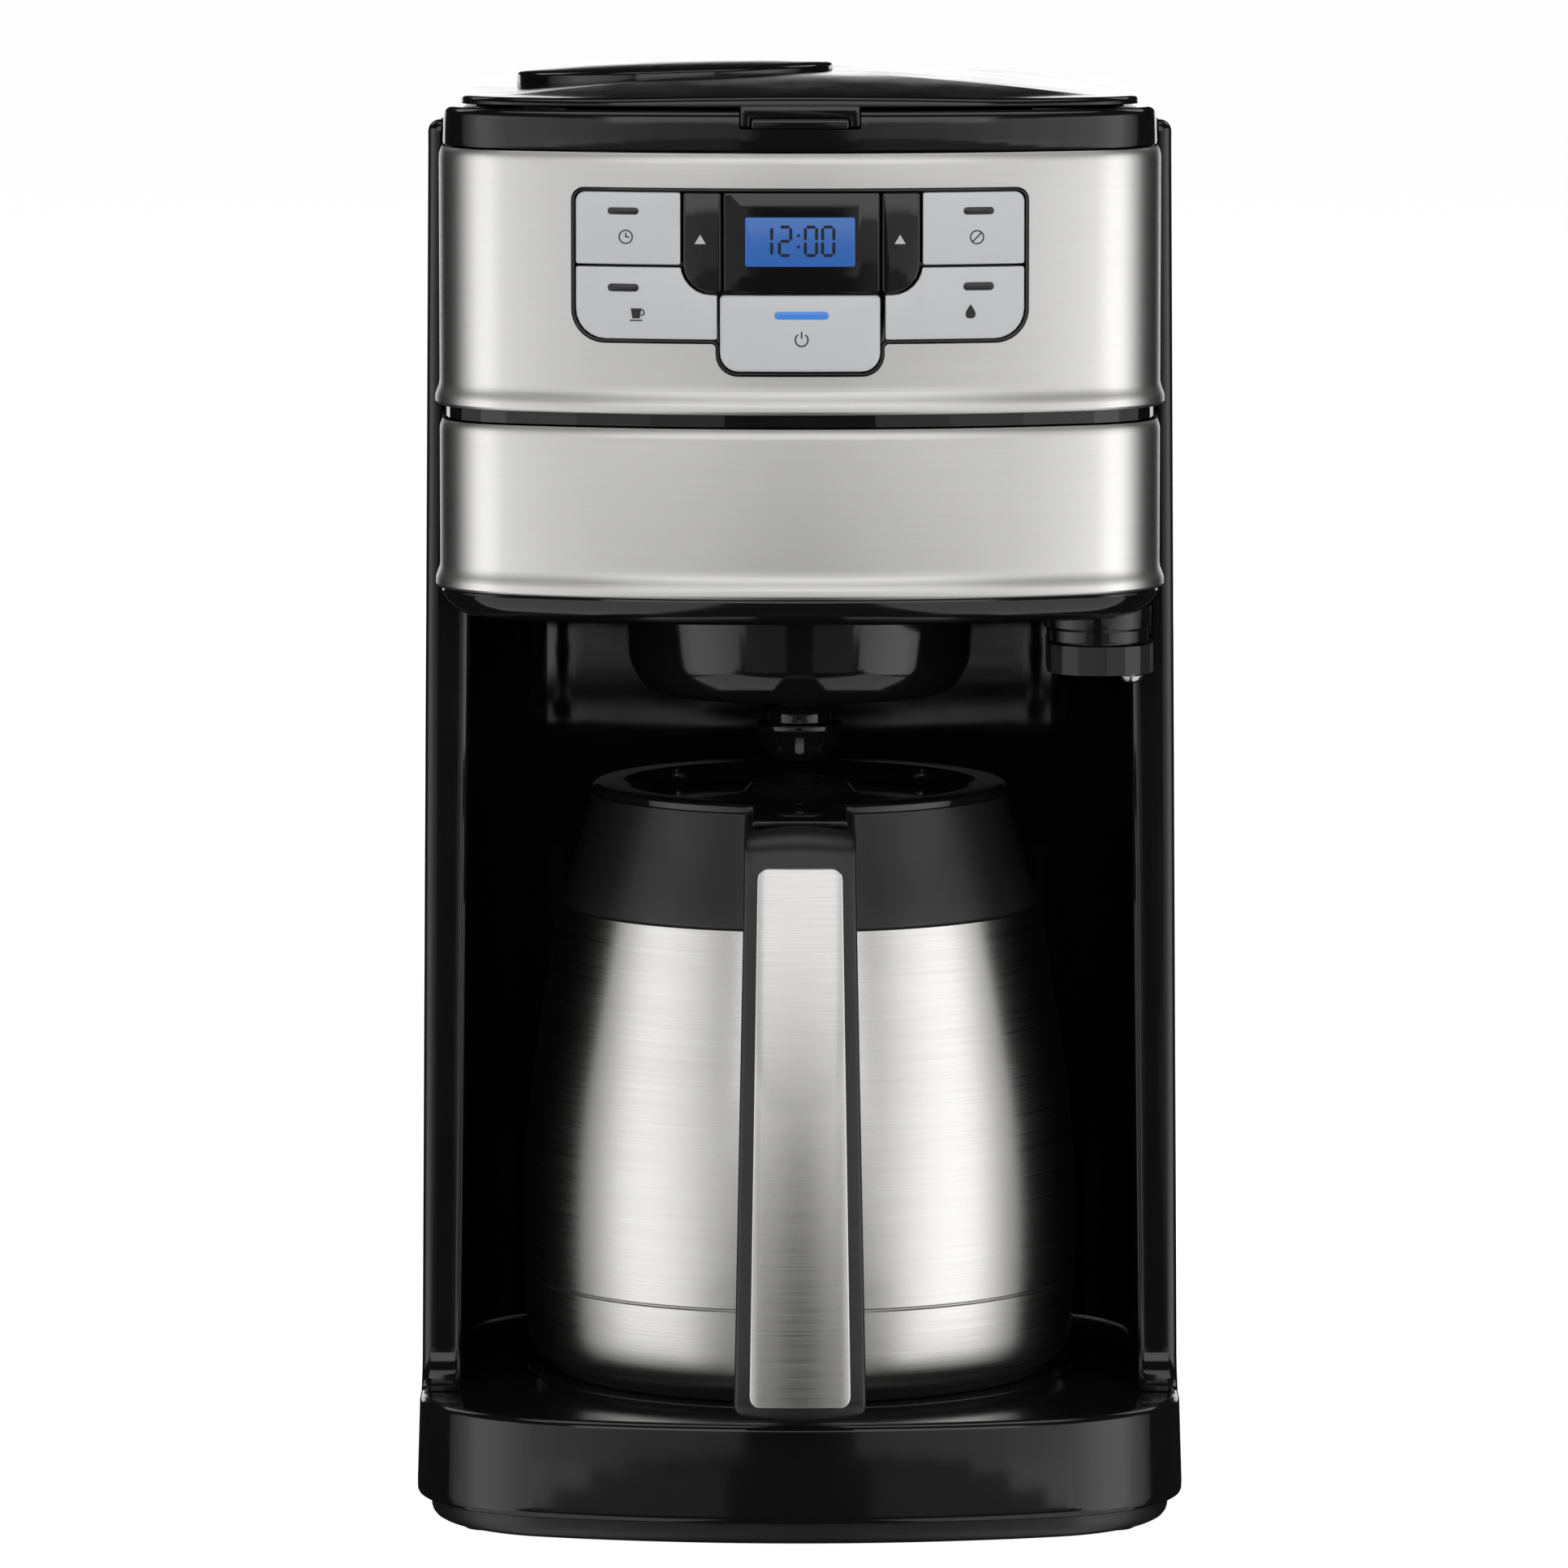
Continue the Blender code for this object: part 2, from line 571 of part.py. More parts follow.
def make_panel(mats):
    bezel = front_plate("control_bezel", panel_outline(-GAP), -0.4 * MM, PANEL_RECESS + 1.6 * MM)
    cut(bezel, front_plate("bezel_recess", panel_outline(-0.8 * MM), 10 * MM, PANEL_RECESS + 10.4 * MM, CUTTERS))
    finish(bezel, mats["black gloss"])

    for name, spec in BUTTONS.items():
        black = name in ("button_hour", "button_minute")
        proud = 1.4 * MM if name == "button_brew" else 0.3 * MM
        button = front_plate(name, panel_box(spec), proud, BUTTON_DEPTH + proud)
        if name in ("button_small_batch", "button_clean"):
            inner = "button_hour" if name == "button_small_batch" else "button_minute"
            cut(button, front_plate(name + "_notch", panel_box(BUTTONS[inner], 0.8 * MM),
                                    10 * MM, 20 * MM, CUTTERS))
            cut(button, front_plate(name + "_lobe", panel_box(BUTTONS["button_brew"], 0.6 * MM),
                                    10 * MM, 20 * MM, CUTTERS))
        finish(button, mats["black gloss" if black else "silver"])

    frame = front_plate("display_frame", panel_box(DISPLAY), 0, PANEL_RECESS - GAP)
    cut(frame, front_plate("display_window", panel_box(LCD), 10 * MM, 12.2 * MM, CUTTERS))
    finish(frame, mats["black gloss"])
    lcd = front_plate("display_lcd", panel_box(LCD, -GAP), -0.4 * MM, 1.5 * MM)
    finish(lcd, mats["lcd"])

    board = block("control_board", (-56 * MM, -86 * MM, 324 * MM), (56 * MM, -84.4 * MM, 368 * MM))
    finish(board, mats["circuit board"])


def make_head(mats):
    inner = grown(HEAD, -1.8 * MM)
    low, high = DOOR_TOP + 0.5 * MM, BAND_TOP - GAP
    back = 52 * MM
    outline = bow_outline(inner, back, 6 * MM)
    head = plate("head_housing", outline, low, high)
    join(head, plate("head_floor", bow_outline(inner, 86 * MM, 6 * MM), low, low + WALL, CUTTERS))
    inside = bow_outline(grown(inner, -WALL), back - WALL, 4 * MM)
    cut(head, plate("head_hollow", inside, low + WALL, high + 10 * MM, CUTTERS))
    cut(head, front_plate("head_window", panel_outline(0), 10 * MM, 30 * MM, CUTTERS))
    cut(head, disc("spray_hole", (0, AXIS_Y), 5 * MM, low - 5 * MM, low + 10 * MM, 16, CUTTERS))
    finish(head, mats["black gloss"])

    band = loft("upper_band", band_sections(HEAD, CEILING, BAND_TOP, COLUMN_Y - 0.4 * MM), closed=False)
    thicken(band, SKIN)
    cut(band, front_plate("band_window", panel_outline(0), 10 * MM, 20 * MM, CUTTERS))
    finish(band, mats["steel"])

    ring_bow = grown(HEAD, -1 * MM)
    ring_back = BACK_Y - 4 * MM
    ring_low = BAND_TOP + GAP
    ring_sections = []
    for below, inset in ((RING_TOP - ring_low, 0), (2 * MM, 0.4 * MM), (0.6 * MM, 1 * MM), (0, 2 * MM)):
        outline = bow_outline(grown(ring_bow, -inset), ring_back - inset, BACK_R - 4 * MM)
        ring_sections.append((RING_TOP - below, tapered(outline)))
    ring = lower_top(loft("top_ring", ring_sections), ring_low + 1 * MM)
    mouth = bow_outline(grown(ring_bow, -9 * MM), 95 * MM, 8 * MM)
    cut(ring, plate("ring_mouth", mouth, ring_low - 5 * MM, RING_TOP + 5 * MM, CUTTERS))
    pocket_w, pocket_low = 16.3 * MM, 386 * MM
    cut(ring, block("latch_notch", (-pocket_w, -120 * MM, pocket_low), (pocket_w, -97.5 * MM, 400 * MM), CUTTERS))
    cut(ring, rod("lid_trough", (-60 * MM, *LID_HINGE), (60 * MM, *LID_HINGE), 5.2 * MM, 16, CUTTERS))
    cut(ring, rod("lid_pin_bore", (-67 * MM, *LID_HINGE), (67 * MM, *LID_HINGE), 2.3 * MM, 12, CUTTERS))
    finish(ring, mats["black gloss"])

    deck = plate("inner_deck", bow_outline(grown(inner, -WALL - GAP), back - WALL - GAP, 4 * MM),
                 372 * MM, 374 * MM)
    cut(deck, disc("deck_hole", GRINDER, 39 * MM, 360 * MM, 380 * MM, STEPS, CUTTERS))
    finish(deck, mats["black satin"])

    shower_top = low - GAP
    shower = turned("shower_head", [
        (0, shower_top), (38 * MM, shower_top), (38 * MM, shower_top - 2 * MM),
        (33 * MM, shower_top - 5 * MM), (0, shower_top - 6 * MM)], steps=SMALL_STEPS)
    finish(shower, mats["black satin"])


def lid_top(x, y):
    """Height of the lid's upper face, which arches both ways but keeps a rim at the corners."""
    depth = y + 10 * MM
    along = 0.25 if depth < 0 else 0.45
    arch = LID_CREST - along * depth ** 2 - 0.436 * x ** 2
    return max(arch, LID_LOW - fall(y) + 2.2 * MM)


def lid_section(inset, height):
    """One section of the lid: its plan moved in, at a height given as a function of x and y."""
    plan = Bow(LID_W - inset, LID_FRONT + inset, 214 * MM - inset, max(23 * MM - inset, 6 * MM))
    back = LID_HINGE[0] - 1.5 * MM - inset * 0.9
    return height, tapered(bow_outline(plan, back, max(16 * MM - inset, 4 * MM)))


def below_top(drop):
    return lambda x, y: lid_top(x, y) - drop


def make_lid(mats):
    edge = [lid_section(0, lambda x, y: LID_LOW - fall(y)), lid_section(0, below_top(1.6 * MM)),
            lid_section(0.7 * MM, below_top(0.5 * MM))]
    face = [lid_section(inset * MM, lid_top) for inset in (3, 12, 28, 48, 68)]
    lid = loft("lid", edge + face)

    rings = []
    for radius, rise in ((44, -3), (44, 0.6), (43.2, 1.4), (34, 2.0), (20, 2.3), (8, 2.4)):
        circle = arc(*LID_DISC, radius * MM, 0, 360, STEPS)[:-1]
        rings.append((below_top(-rise * MM), circle))
    join(lid, loft("lid_dome", rings, group=CUTTERS))
    join(lid, block("lid_tab", (-15.9 * MM, -105.6 * MM, 389.3 * MM), (15.9 * MM, -99.4 * MM, 393 * MM), CUTTERS))
    under = [lid_section(8 * MM, lambda x, y: LID_LOW - 20 * MM)]
    under += [lid_section(inset * MM, below_top(2.4 * MM)) for inset in (8, 28, 60)]
    cut(lid, loft("lid_hollow", under, group=CUTTERS))
    knuckle = rod("lid_knuckle", (-58 * MM, *LID_HINGE), (58 * MM, *LID_HINGE), 4.2 * MM, 16, CUTTERS)
    join(lid, knuckle)
    cut(lid, rod("knuckle_bore", (-68 * MM, *LID_HINGE), (68 * MM, *LID_HINGE), 2.3 * MM, 12, CUTTERS))
    finish(lid, mats["black gloss"])
    pin = rod("lid_hinge_pin", (-66 * MM, *LID_HINGE), (66 * MM, *LID_HINGE), 2 * MM, 12)
    finish(pin, mats["steel"])

    latch = block("lid_latch", (-13 * MM, -106 * MM, 386.3 * MM), (13 * MM, -100 * MM, 388.9 * MM))
    finish(soften(latch, 0.5 * MM), mats["black gloss"])


def make_grinder(mats):
    base = DOOR_TOP + 0.5 * MM + WALL + GAP
    motor = turned("grinder_motor", [
        (0, base + 30 * MM), (8 * MM, base + 30 * MM), (8 * MM, base + 28 * MM), (24 * MM, base + 28 * MM),
        (25 * MM, base + 26 * MM), (25 * MM, base), (0, base)], centre=GRINDER, steps=SMALL_STEPS)
    finish(motor, mats["zinc"])
    floor, rim = 344 * MM, 384 * MM
    bowl = turned("grinder_bowl", [
        (39.5 * MM, rim), (39.5 * MM, rim - 2.4 * MM), (38 * MM, rim - 3 * MM), (36 * MM, floor + 4 * MM),
        (33 * MM, floor), (3.6 * MM, floor), (3.6 * MM, floor + 2 * MM), (32.5 * MM, floor + 2 * MM),
        (34.6 * MM, floor + 5 * MM), (37 * MM, rim)], centre=GRINDER, steps=STEPS, ring=True)
    finish(bowl, mats["steel"])
    shaft_low = base + 30 * MM + GAP
    shaft = turned("grinder_shaft", [
        (0, floor + 12 * MM), (4.5 * MM, floor + 11 * MM), (4.5 * MM, floor + 8.6 * MM),
        (3 * MM, floor + 8.6 * MM), (3 * MM, shaft_low), (0, shaft_low)], centre=GRINDER, steps=16)
    finish(shaft, mats["steel"])
    blade = block("grinder_blade", (GRINDER[0] - 25 * MM, GRINDER[1] - 4.2 * MM, floor + 6 * MM),
                  (GRINDER[0] + 25 * MM, GRINDER[1] + 4.2 * MM, floor + 7.6 * MM))
    cut(blade, disc("blade_bore", GRINDER, 3.3 * MM, 340 * MM, 370 * MM, 16, CUTTERS))
    finish(blade, mats["steel"])
    cap = turned("grinder_cap", [
        (0, rim + 5 * MM), (12 * MM, rim + 5 * MM), (14 * MM, rim + 2.4 * MM), (39 * MM, rim + 2.2 * MM),
        (40 * MM, rim + 1.4 * MM), (40 * MM, rim + GAP), (0, rim + GAP)], centre=GRINDER, steps=STEPS)
    finish(cap, mats["smoked plastic"])


# ---------------------------------------------------------------- door

def make_door(mats):
    side_y = -54 * MM
    band = loft("door_band", band_sections(HEAD, DOOR_BAND_LOW, DOOR_TOP, side_y), closed=False)
    finish(thicken(band, SKIN), mats["steel"])

    shape = [(DOOR_LOW, -9), (DOOR_LOW + 1.1 * MM, -5.6), (DOOR_LOW + 3.4 * MM, -2.2),
             (DOOR_BAND_LOW - GAP, -0.4), (DOOR_BAND_LOW - GAP + 0.05 * MM, -1.8), (DOOR_TOP - 0.4 * MM, -1.8)]
    body = loft("door_body", [(z, bow_front(grown(HEAD, grow * MM), side_y)) for z, grow in shape])
    floor = DOOR_BAND_LOW - GAP
    inside = bow_front(grown(HEAD, -1.8 * MM - WALL), -30 * MM)
    cut(body, plate("door_hollow", inside, floor, DOOR_TOP + 10 * MM, CUTTERS))
    join(body, disc("door_rear_floor", (0, AXIS_Y), 58 * MM, DOOR_LOW, floor - 2 * MM, STEPS, CUTTERS))
    join(body, disc("door_knuckle", DOOR_HINGE, 14.6 * MM, HINGE_LUG_TOP + 0.5 * MM, DOOR_LOW + 2 * MM,
                    24, CUTTERS))
    cut(body, disc("holder_hole", (0, AXIS_Y), HOLDER_HOLE_R, DOOR_LOW - 5 * MM, floor + 5 * MM, STEPS, CUTTERS))
    cut(body, disc("pin_socket", DOOR_HINGE, 3.3 * MM, 230 * MM, DOOR_LOW - 0.2 * MM, 16, CUTTERS))
    finish(body, mats["black gloss"])

    rim = 296 * MM
    holder = turned("filter_holder", [
        (58 * MM, rim), (58 * MM, rim - 3 * MM), (53.6 * MM, rim - 4 * MM), (49.6 * MM, 257 * MM),
        (48.2 * MM, 243 * MM), (46.6 * MM, 231 * MM), (43 * MM, 225.6 * MM), (9 * MM, 222 * MM),
        (8.7 * MM, 216.6 * MM), (5 * MM, 216.6 * MM), (5 * MM, 224.4 * MM), (41.5 * MM, 228.2 * MM),
        (44.2 * MM, 232 * MM), (45.8 * MM, 244 * MM), (47.2 * MM, 257 * MM), (51.4 * MM, rim - 2 * MM),
        (51.4 * MM, rim)], ring=True)
    finish(holder, mats["black gloss"])
    basket = turned("filter_basket", [
        (52.6 * MM, rim + 1.8 * MM), (52.6 * MM, rim + GAP), (50.8 * MM, rim + GAP), (46.4 * MM, 256 * MM),
        (44.8 * MM, 240 * MM), (42.4 * MM, 233 * MM), (0, 231 * MM), (0, 232.4 * MM), (41.6 * MM, 234.4 * MM),
        (43.6 * MM, 240.4 * MM), (45.2 * MM, 256 * MM), (49.6 * MM, rim + 1.8 * MM)], ring=True)
    finish(basket, mats["black satin"])

    cage_top, cage_low = 216.6 * MM - GAP, 206.2 * MM
    cage = turned("valve_cage", [
        (12 * MM, cage_top), (12 * MM, cage_top - 1.6 * MM), (10.9 * MM, 211.6 * MM), (6.6 * MM, cage_low),
        (5 * MM, cage_low), (5 * MM, 207.4 * MM), (8.6 * MM, 212 * MM), (9.6 * MM, cage_top - 1.8 * MM),
        (4.9 * MM, cage_top - 1.8 * MM), (4.9 * MM, cage_top)], steps=SMALL_STEPS, ring=True)
    for number in range(4):
        turn = math.radians(45 * number + 22.5)
        slot = block(f"cage_slot_{number}", (-14 * MM, -1.1 * MM, 208.6 * MM), (14 * MM, 1.1 * MM, 213.6 * MM),
                     CUTTERS)
        slot.data.transform(Matrix.Translation((0, AXIS_Y, 0)) @ Matrix.Rotation(turn, 4, "Z"))
        cut(cage, slot)
    finish(cage, mats["black satin"])
    plunger = turned("valve_plunger", [
        (0, 229 * MM), (7 * MM, 229 * MM), (7 * MM, 226.6 * MM), (3.6 * MM, 225.6 * MM),
        (3.6 * MM, 208 * MM), (2.4 * MM, 206.8 * MM), (0, 206.8 * MM)], steps=16)
    finish(plunger, mats["silicone"])


# ---------------------------------------------------------------- carafe

def sheet_profile(outer, wall):
    """Close a profile: its outer side going down, then the same line moved in by wall."""
    return outer + [(r - wall, z) for r, z in reversed(outer)]


def make_carafe(mats):
    seat = BASE_TOP + 0.2 * MM + GAP
    shell = turned("carafe_shell", sheet_profile([
        (66.2, 166.2), (68.6, 153), (71.2, 137), (73.9, 121), (75.6, 105), (76.5, 89), (76.7, 73),
        (76.3, 60), (75.7, 48), (74.6, 43.4), (72, 40.6)], 1.0), ring=True)
    shell.data.transform(Matrix.Scale(MM, 4))
    finish(shell, mats["steel"])

    liner = turned("carafe_liner", [
        (52, 170), (52, 162), (64.4, 146), (69.6, 121), (72, 90), (71.4, 60), (66, 50), (0, 48), (0, 49.2),
        (65, 51.2), (70.2, 61), (70.8, 90), (68.4, 120.6), (63.2, 145.4), (50.8, 161.4), (50.8, 170)], ring=True)
    liner.data.transform(Matrix.Scale(MM, 4))
    finish(liner, mats["steel"])

    bottom = turned("carafe_bottom", [
        (0, 47.4 * MM), (60 * MM, 47.4 * MM), (70.6 * MM, 42 * MM), (70.6 * MM, 40 * MM),
        (69 * MM, seat), (0, seat)])
    finish(bottom, mats["black satin"])

    collar = turned("carafe_collar", [
        (57.2, 197.2), (61.4, 182.4), (66.2, 166.5), (64.6, 166.5), (64.6, 161), (53, 161), (53, 171),
        (50.6, 171), (50.6, 184), (54.2, 197.2)], ring=True)
    collar.data.transform(Matrix.Scale(MM, 4))
    finish(collar, mats["black satin"])

    lid = turned("carafe_lid", [
        (0, 201.4), (8, 201.2), (13.5, 199.8), (16, 196.8), (43, 195.4), (47.2, 198.2), (49, 200), (56.6, 200),
        (57.4, 199.2), (57.4, 197.5), (53.8, 197.5), (50.2, 184.6), (50.2, 174), (30, 172), (0, 172)])
    lid.data.transform(Matrix.Scale(MM, 4))
    finish(lid, mats["black gloss"])
    seal = turned("lid_seal", [
        (49.8, 171.6), (50.3, 170.6), (50.3, 168.2), (47, 168.2), (47, 171.6)], ring=True)
    seal.data.transform(Matrix.Scale(MM, 4))
    finish(seal, mats["silicone"])

    make_handle(mats)


def handle_path():
    """Mid line of the handle's outer face (y, z, half width, depth), from the collar down."""
    top_y, top_z = -106 * MM, 190.8 * MM
    corner = 9 * MM
    path = [(-62 * MM, top_z + corner, 15 * MM, 17 * MM), (-84 * MM, top_z + corner, 15 * MM, 16 * MM)]
    for a in (90, 114, 138, 162):
        turn = math.radians(a)
        y = top_y - 4.6 * MM + corner * 1.1 * math.cos(turn)
        path.append((y, top_z + corner * math.sin(turn), 15 * MM, 15 * MM))
    start, end = (-121 * MM, 187 * MM), (-135.4 * MM, 48 * MM)
    for i in range(5):
        part = i / 4
        path.append((start[0] + (end[0] - start[0]) * part, start[1] + (end[1] - start[1]) * part,
                     (15 + 2.7 * part) * MM, (14 - part) * MM))
    path.append((-133.6 * MM, 43 * MM, 17.6 * MM, 11 * MM))
    path.append((-130 * MM, 41.3 * MM, 17 * MM, 7 * MM))
    return path


def d_section(half_w, depth, crown):
    """Cross section of the handle: crowned outside, rounded inside; (x, depth behind the face)."""
    edge = 3 * MM
    outside = [(half_w * i / 3, crown * (i / 3) ** 2) for i in range(-3, 4)]
    inside = [(half_w, crown + edge), (half_w - edge, depth), (edge - half_w, depth), (-half_w, crown + edge)]
    return outside + inside


def sweep(name, path, section, group=COLLECTION):
    """Carry a cross section along a path that lies in the plane x = 0."""
    bm = bmesh.new()
    rings = []
    for i, (y, z, half_w, depth) in enumerate(path):
        before, after = path[max(i - 1, 0)], path[min(i + 1, len(path) - 1)]
        along = Vector((0, after[0] - before[0], after[1] - before[1])).normalized()
        inward = Vector((0, -along.z, along.y))
        spot = Vector((0, y, z))
        rings.append([bm.verts.new(spot + inward * d + Vector((x, 0, 0))) for x, d in section(half_w, depth)])
    count = len(rings[0])
    for first, second in zip(rings, rings[1:]):
        for i in range(count):
            j = (i + 1) % count
            bm.faces.new((first[i], first[j], second[j], second[i]))
    bm.faces.new(list(reversed(rings[0])))
    bm.faces.new(rings[-1])
    bmesh.ops.recalc_face_normals(bm, faces=bm.faces)
    return from_bmesh(name, bm, group)


def make_handle(mats):
    crown = 2 * MM
    handle = sweep("carafe_handle", handle_path(), lambda w, d: d_section(w, d, crown))
    seat = turned("handle_seat", [
        (0, 205), (58, 205), (58, 196.6), (61.9, 182.3), (66.7, 166), (0, 166)], group=CUTTERS)
    seat.data.transform(Matrix.Scale(MM, 4))
    cut(handle, seat)
    finish(handle, mats["black satin"])

    top, low = (-120.7 * MM, 189.8 * MM), (-135.6 * MM, 45.8 * MM)
    strip = []
    for i in range(4):
        part = i / 3
        strip.append((top[0] + (low[0] - top[0]) * part - 0.9 * MM, top[1] + (low[1] - top[1]) * part,
                      (11.3 + 2.4 * part) * MM, 0.6 * MM))
    inlay = sweep("handle_inlay", strip, lambda w, d: (
        [(w * i / 2, crown * 0.55 * (i / 2) ** 2) for i in range(-2, 3)]
        + [(w * i / 2, crown * 0.55 * (i / 2) ** 2 + d) for i in range(2, -3, -1)]))
    finish(inlay, mats["steel"])

    pad = block("thumb_pad", (-13 * MM, -104 * MM, 200.2 * MM), (13 * MM, -74 * MM, 201.2 * MM))
    finish(soften(pad, 0.3 * MM), mats["black satin"])


# ---------------------------------------------------------------- assembly

def main():
    clear_scene()
    new_collection(COLLECTION)
    cutters = new_collection(CUTTERS)
    cutters.hide_render = True
    mats = {
        "black gloss": material("black gloss", (0.012, 0.012, 0.013), 0.16),
        "black satin": material("black satin", (0.02, 0.02, 0.021), 0.4),
        "steel": material("steel", (0.62, 0.62, 0.61), 0.3, 1.0),
        "silver": material("silver", (0.6, 0.61, 0.63), 0.35, 0.6),
        "lcd": material("lcd", (0.05, 0.14, 0.45), 0.3),
        "aluminium": material("aluminium", (0.7, 0.7, 0.72), 0.4, 1.0),
        "zinc": material("zinc", (0.5, 0.5, 0.5), 0.5, 1.0),
        "rubber": material("rubber", (0.02, 0.02, 0.02), 0.8),
        "silicone": material("silicone", (0.6, 0.6, 0.58), 0.5),
        "tank plastic": material("tank plastic", (0.05, 0.05, 0.055), 0.3),
        "smoked plastic": material("smoked plastic", (0.06, 0.055, 0.05), 0.1),
        "circuit board": material("circuit board", (0.02, 0.12, 0.04), 0.5),
    }
    make_base(mats)
    make_rear(mats)
    make_head(mats)
    make_panel(mats)
    make_lid(mats)
    make_grinder(mats)
    make_door(mats)
    make_carafe(mats)


main()
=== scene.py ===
"""Looks of the grind-and-brew drip coffee maker: fine meshes, materials, light and camera.

Sizes and places are in millimetres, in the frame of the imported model:
+X right, +Y back, +Z up, the front faces -Y.  They are turned into metres as meshes are made.
"""

import json
import math
from collections import namedtuple

import bmesh
import bpy
from mathutils import Matrix, Vector


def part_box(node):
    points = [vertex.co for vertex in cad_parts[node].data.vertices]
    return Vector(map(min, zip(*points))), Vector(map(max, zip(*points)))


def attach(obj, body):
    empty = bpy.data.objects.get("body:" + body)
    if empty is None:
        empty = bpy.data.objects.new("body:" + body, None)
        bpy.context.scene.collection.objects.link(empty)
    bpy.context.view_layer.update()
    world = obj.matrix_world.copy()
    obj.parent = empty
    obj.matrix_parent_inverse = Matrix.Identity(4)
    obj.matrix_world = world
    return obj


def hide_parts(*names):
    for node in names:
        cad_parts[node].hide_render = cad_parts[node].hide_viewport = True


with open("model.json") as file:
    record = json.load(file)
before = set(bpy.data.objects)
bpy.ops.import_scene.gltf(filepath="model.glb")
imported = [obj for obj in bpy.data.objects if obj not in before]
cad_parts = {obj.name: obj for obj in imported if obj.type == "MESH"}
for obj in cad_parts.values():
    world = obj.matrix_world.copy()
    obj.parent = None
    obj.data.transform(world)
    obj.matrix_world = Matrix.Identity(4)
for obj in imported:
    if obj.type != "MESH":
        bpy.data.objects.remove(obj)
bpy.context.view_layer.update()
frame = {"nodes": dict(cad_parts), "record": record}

MM = 0.001

Bow = namedtuple("Bow", "half_w front_y radius corner_r")


def box(node):
    """Lowest and highest corner of a CAD node, in millimetres."""
    low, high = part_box(node)
    return low / MM, high / MM


# ---------------------------------------------------------------- sizes from the frame

BASE_BOX, BAND_BOX, DOOR_BOX = box("base_housing"), box("upper_band"), box("door_band")
SHELL_BOX, REAR_BOX, RING_BOX, LID_BOX = box("carafe_shell"), box("rear_housing"), box("top_ring"), box("lid")
FLARE = 1.2                          # how far the steel bands roll out at their lower edge

BASE = Bow(BASE_BOX[1].x, BASE_BOX[0].y, 260, 45)
HEAD = Bow(BAND_BOX[1].x - FLARE, BAND_BOX[0].y + FLARE, 220, 28)
BACK_Y, BACK_R = BASE_BOX[1].y, 26
AXIS = (0, (SHELL_BOX[0].y + SHELL_BOX[1].y) / 2)
FOOT_H = box("base_cover")[0].z
SKIRT_TOP, BASE_TOP = BASE_BOX[0].z, BASE_BOX[1].z
CEILING, BAND_TOP = BAND_BOX[0].z, BAND_BOX[1].z
DOOR_BAND_LOW, DOOR_TOP = DOOR_BOX[0].z, DOOR_BOX[1].z
DOOR_LOW = DOOR_BAND_LOW - 7.7
COLUMN_Y = -46
BAY_BACK_R, BAY_CORNER_R = 350, 38   # plan of the bay's back wall: a wide bow, then a corner each side
COLUMN_LOW_W, COLUMN_TOP_W = REAR_BOX[1].x, 101.2
COLUMN_TOP = 386.6
BAY_LOW_W, BAY_TOP_W = 93.3, 89.5
RING_TOP = 391
LID_LOW, LID_CREST = 391.9, 396.9
LID_W, LID_FRONT = LID_BOX[1].x, -102.6
PIN_BOX = box("lid_hinge_pin")
LID_HINGE = ((PIN_BOX[0].y + PIN_BOX[1].y) / 2, (PIN_BOX[0].z + PIN_BOX[1].z) / 2)
KNUCKLE_R = 4.2
LID_DISC = (-34.6, 20)
TOP_FALL, TAPER = 0.02, 0.022
DOOR_HINGE = (81, -60)
LUG_BOX = box("hinge_bracket")
PANEL_RECESS = 4.6
GAP = 0.3


# ---------------------------------------------------------------- outlines

def arc(cx, cy, radius, start, end, count):
    """Points on a circle from start to end degrees, both ends included."""
    turn = (end - start) / count
    angles = [math.radians(start + turn * i) for i in range(count + 1)]
    return [(cx + radius * math.cos(a), cy + radius * math.sin(a)) for a in angles]


def grown(bow, grow):
    return Bow(bow.half_w + grow, bow.front_y - grow, bow.radius + grow, bow.corner_r + grow)


def bow_front(bow, side_y, bow_count=44, corner_count=16):
    """Open outline in plan, from the left side round the front to the right side."""
    corner_x = bow.half_w - bow.corner_r
    reach = bow.radius - bow.corner_r
    phi = math.degrees(math.asin(corner_x / reach))
    middle_y = bow.front_y + bow.radius
    corner_y = middle_y - reach * math.cos(math.radians(phi))
    left = arc(-corner_x, corner_y, bow.corner_r, 180, 270 - phi, corner_count)
    middle = arc(0, middle_y, bow.radius, 270 - phi, 270 + phi, bow_count)
    right = arc(corner_x, corner_y, bow.corner_r, 270 + phi, 360, corner_count)
    return [(-bow.half_w, side_y)] + left + middle[1:] + right[1:] + [(bow.half_w, side_y)]


def bow_outline(bow, back_y, back_r):
    """Closed outline in plan: bowed front, straight sides, rounded back corners."""
    front = bow_front(bow, back_y - back_r)
    right = arc(bow.half_w - back_r, back_y - back_r, back_r, 0, 90, 12)
    left = arc(back_r - bow.half_w, back_y - back_r, back_r, 90, 180, 12)
    return front + right[1:] + left[:-1]


def rounded_box(x0, y0, x1, y1, radii, count=8):
    """Closed outline; radii are for the corners (x0,y0), (x1,y0), (x1,y1), (x0,y1)."""
    corners = [
        (x0 + radii[0], y0 + radii[0], radii[0], 180),
        (x1 - radii[1], y0 + radii[1], radii[1], 270),
        (x1 - radii[2], y1 - radii[2], radii[2], 0),
        (x0 + radii[3], y1 - radii[3], radii[3], 90),
    ]
    points = []
    for cx, cy, radius, start in corners:
        points += arc(cx, cy, radius, start, start + 90, count)
    return points


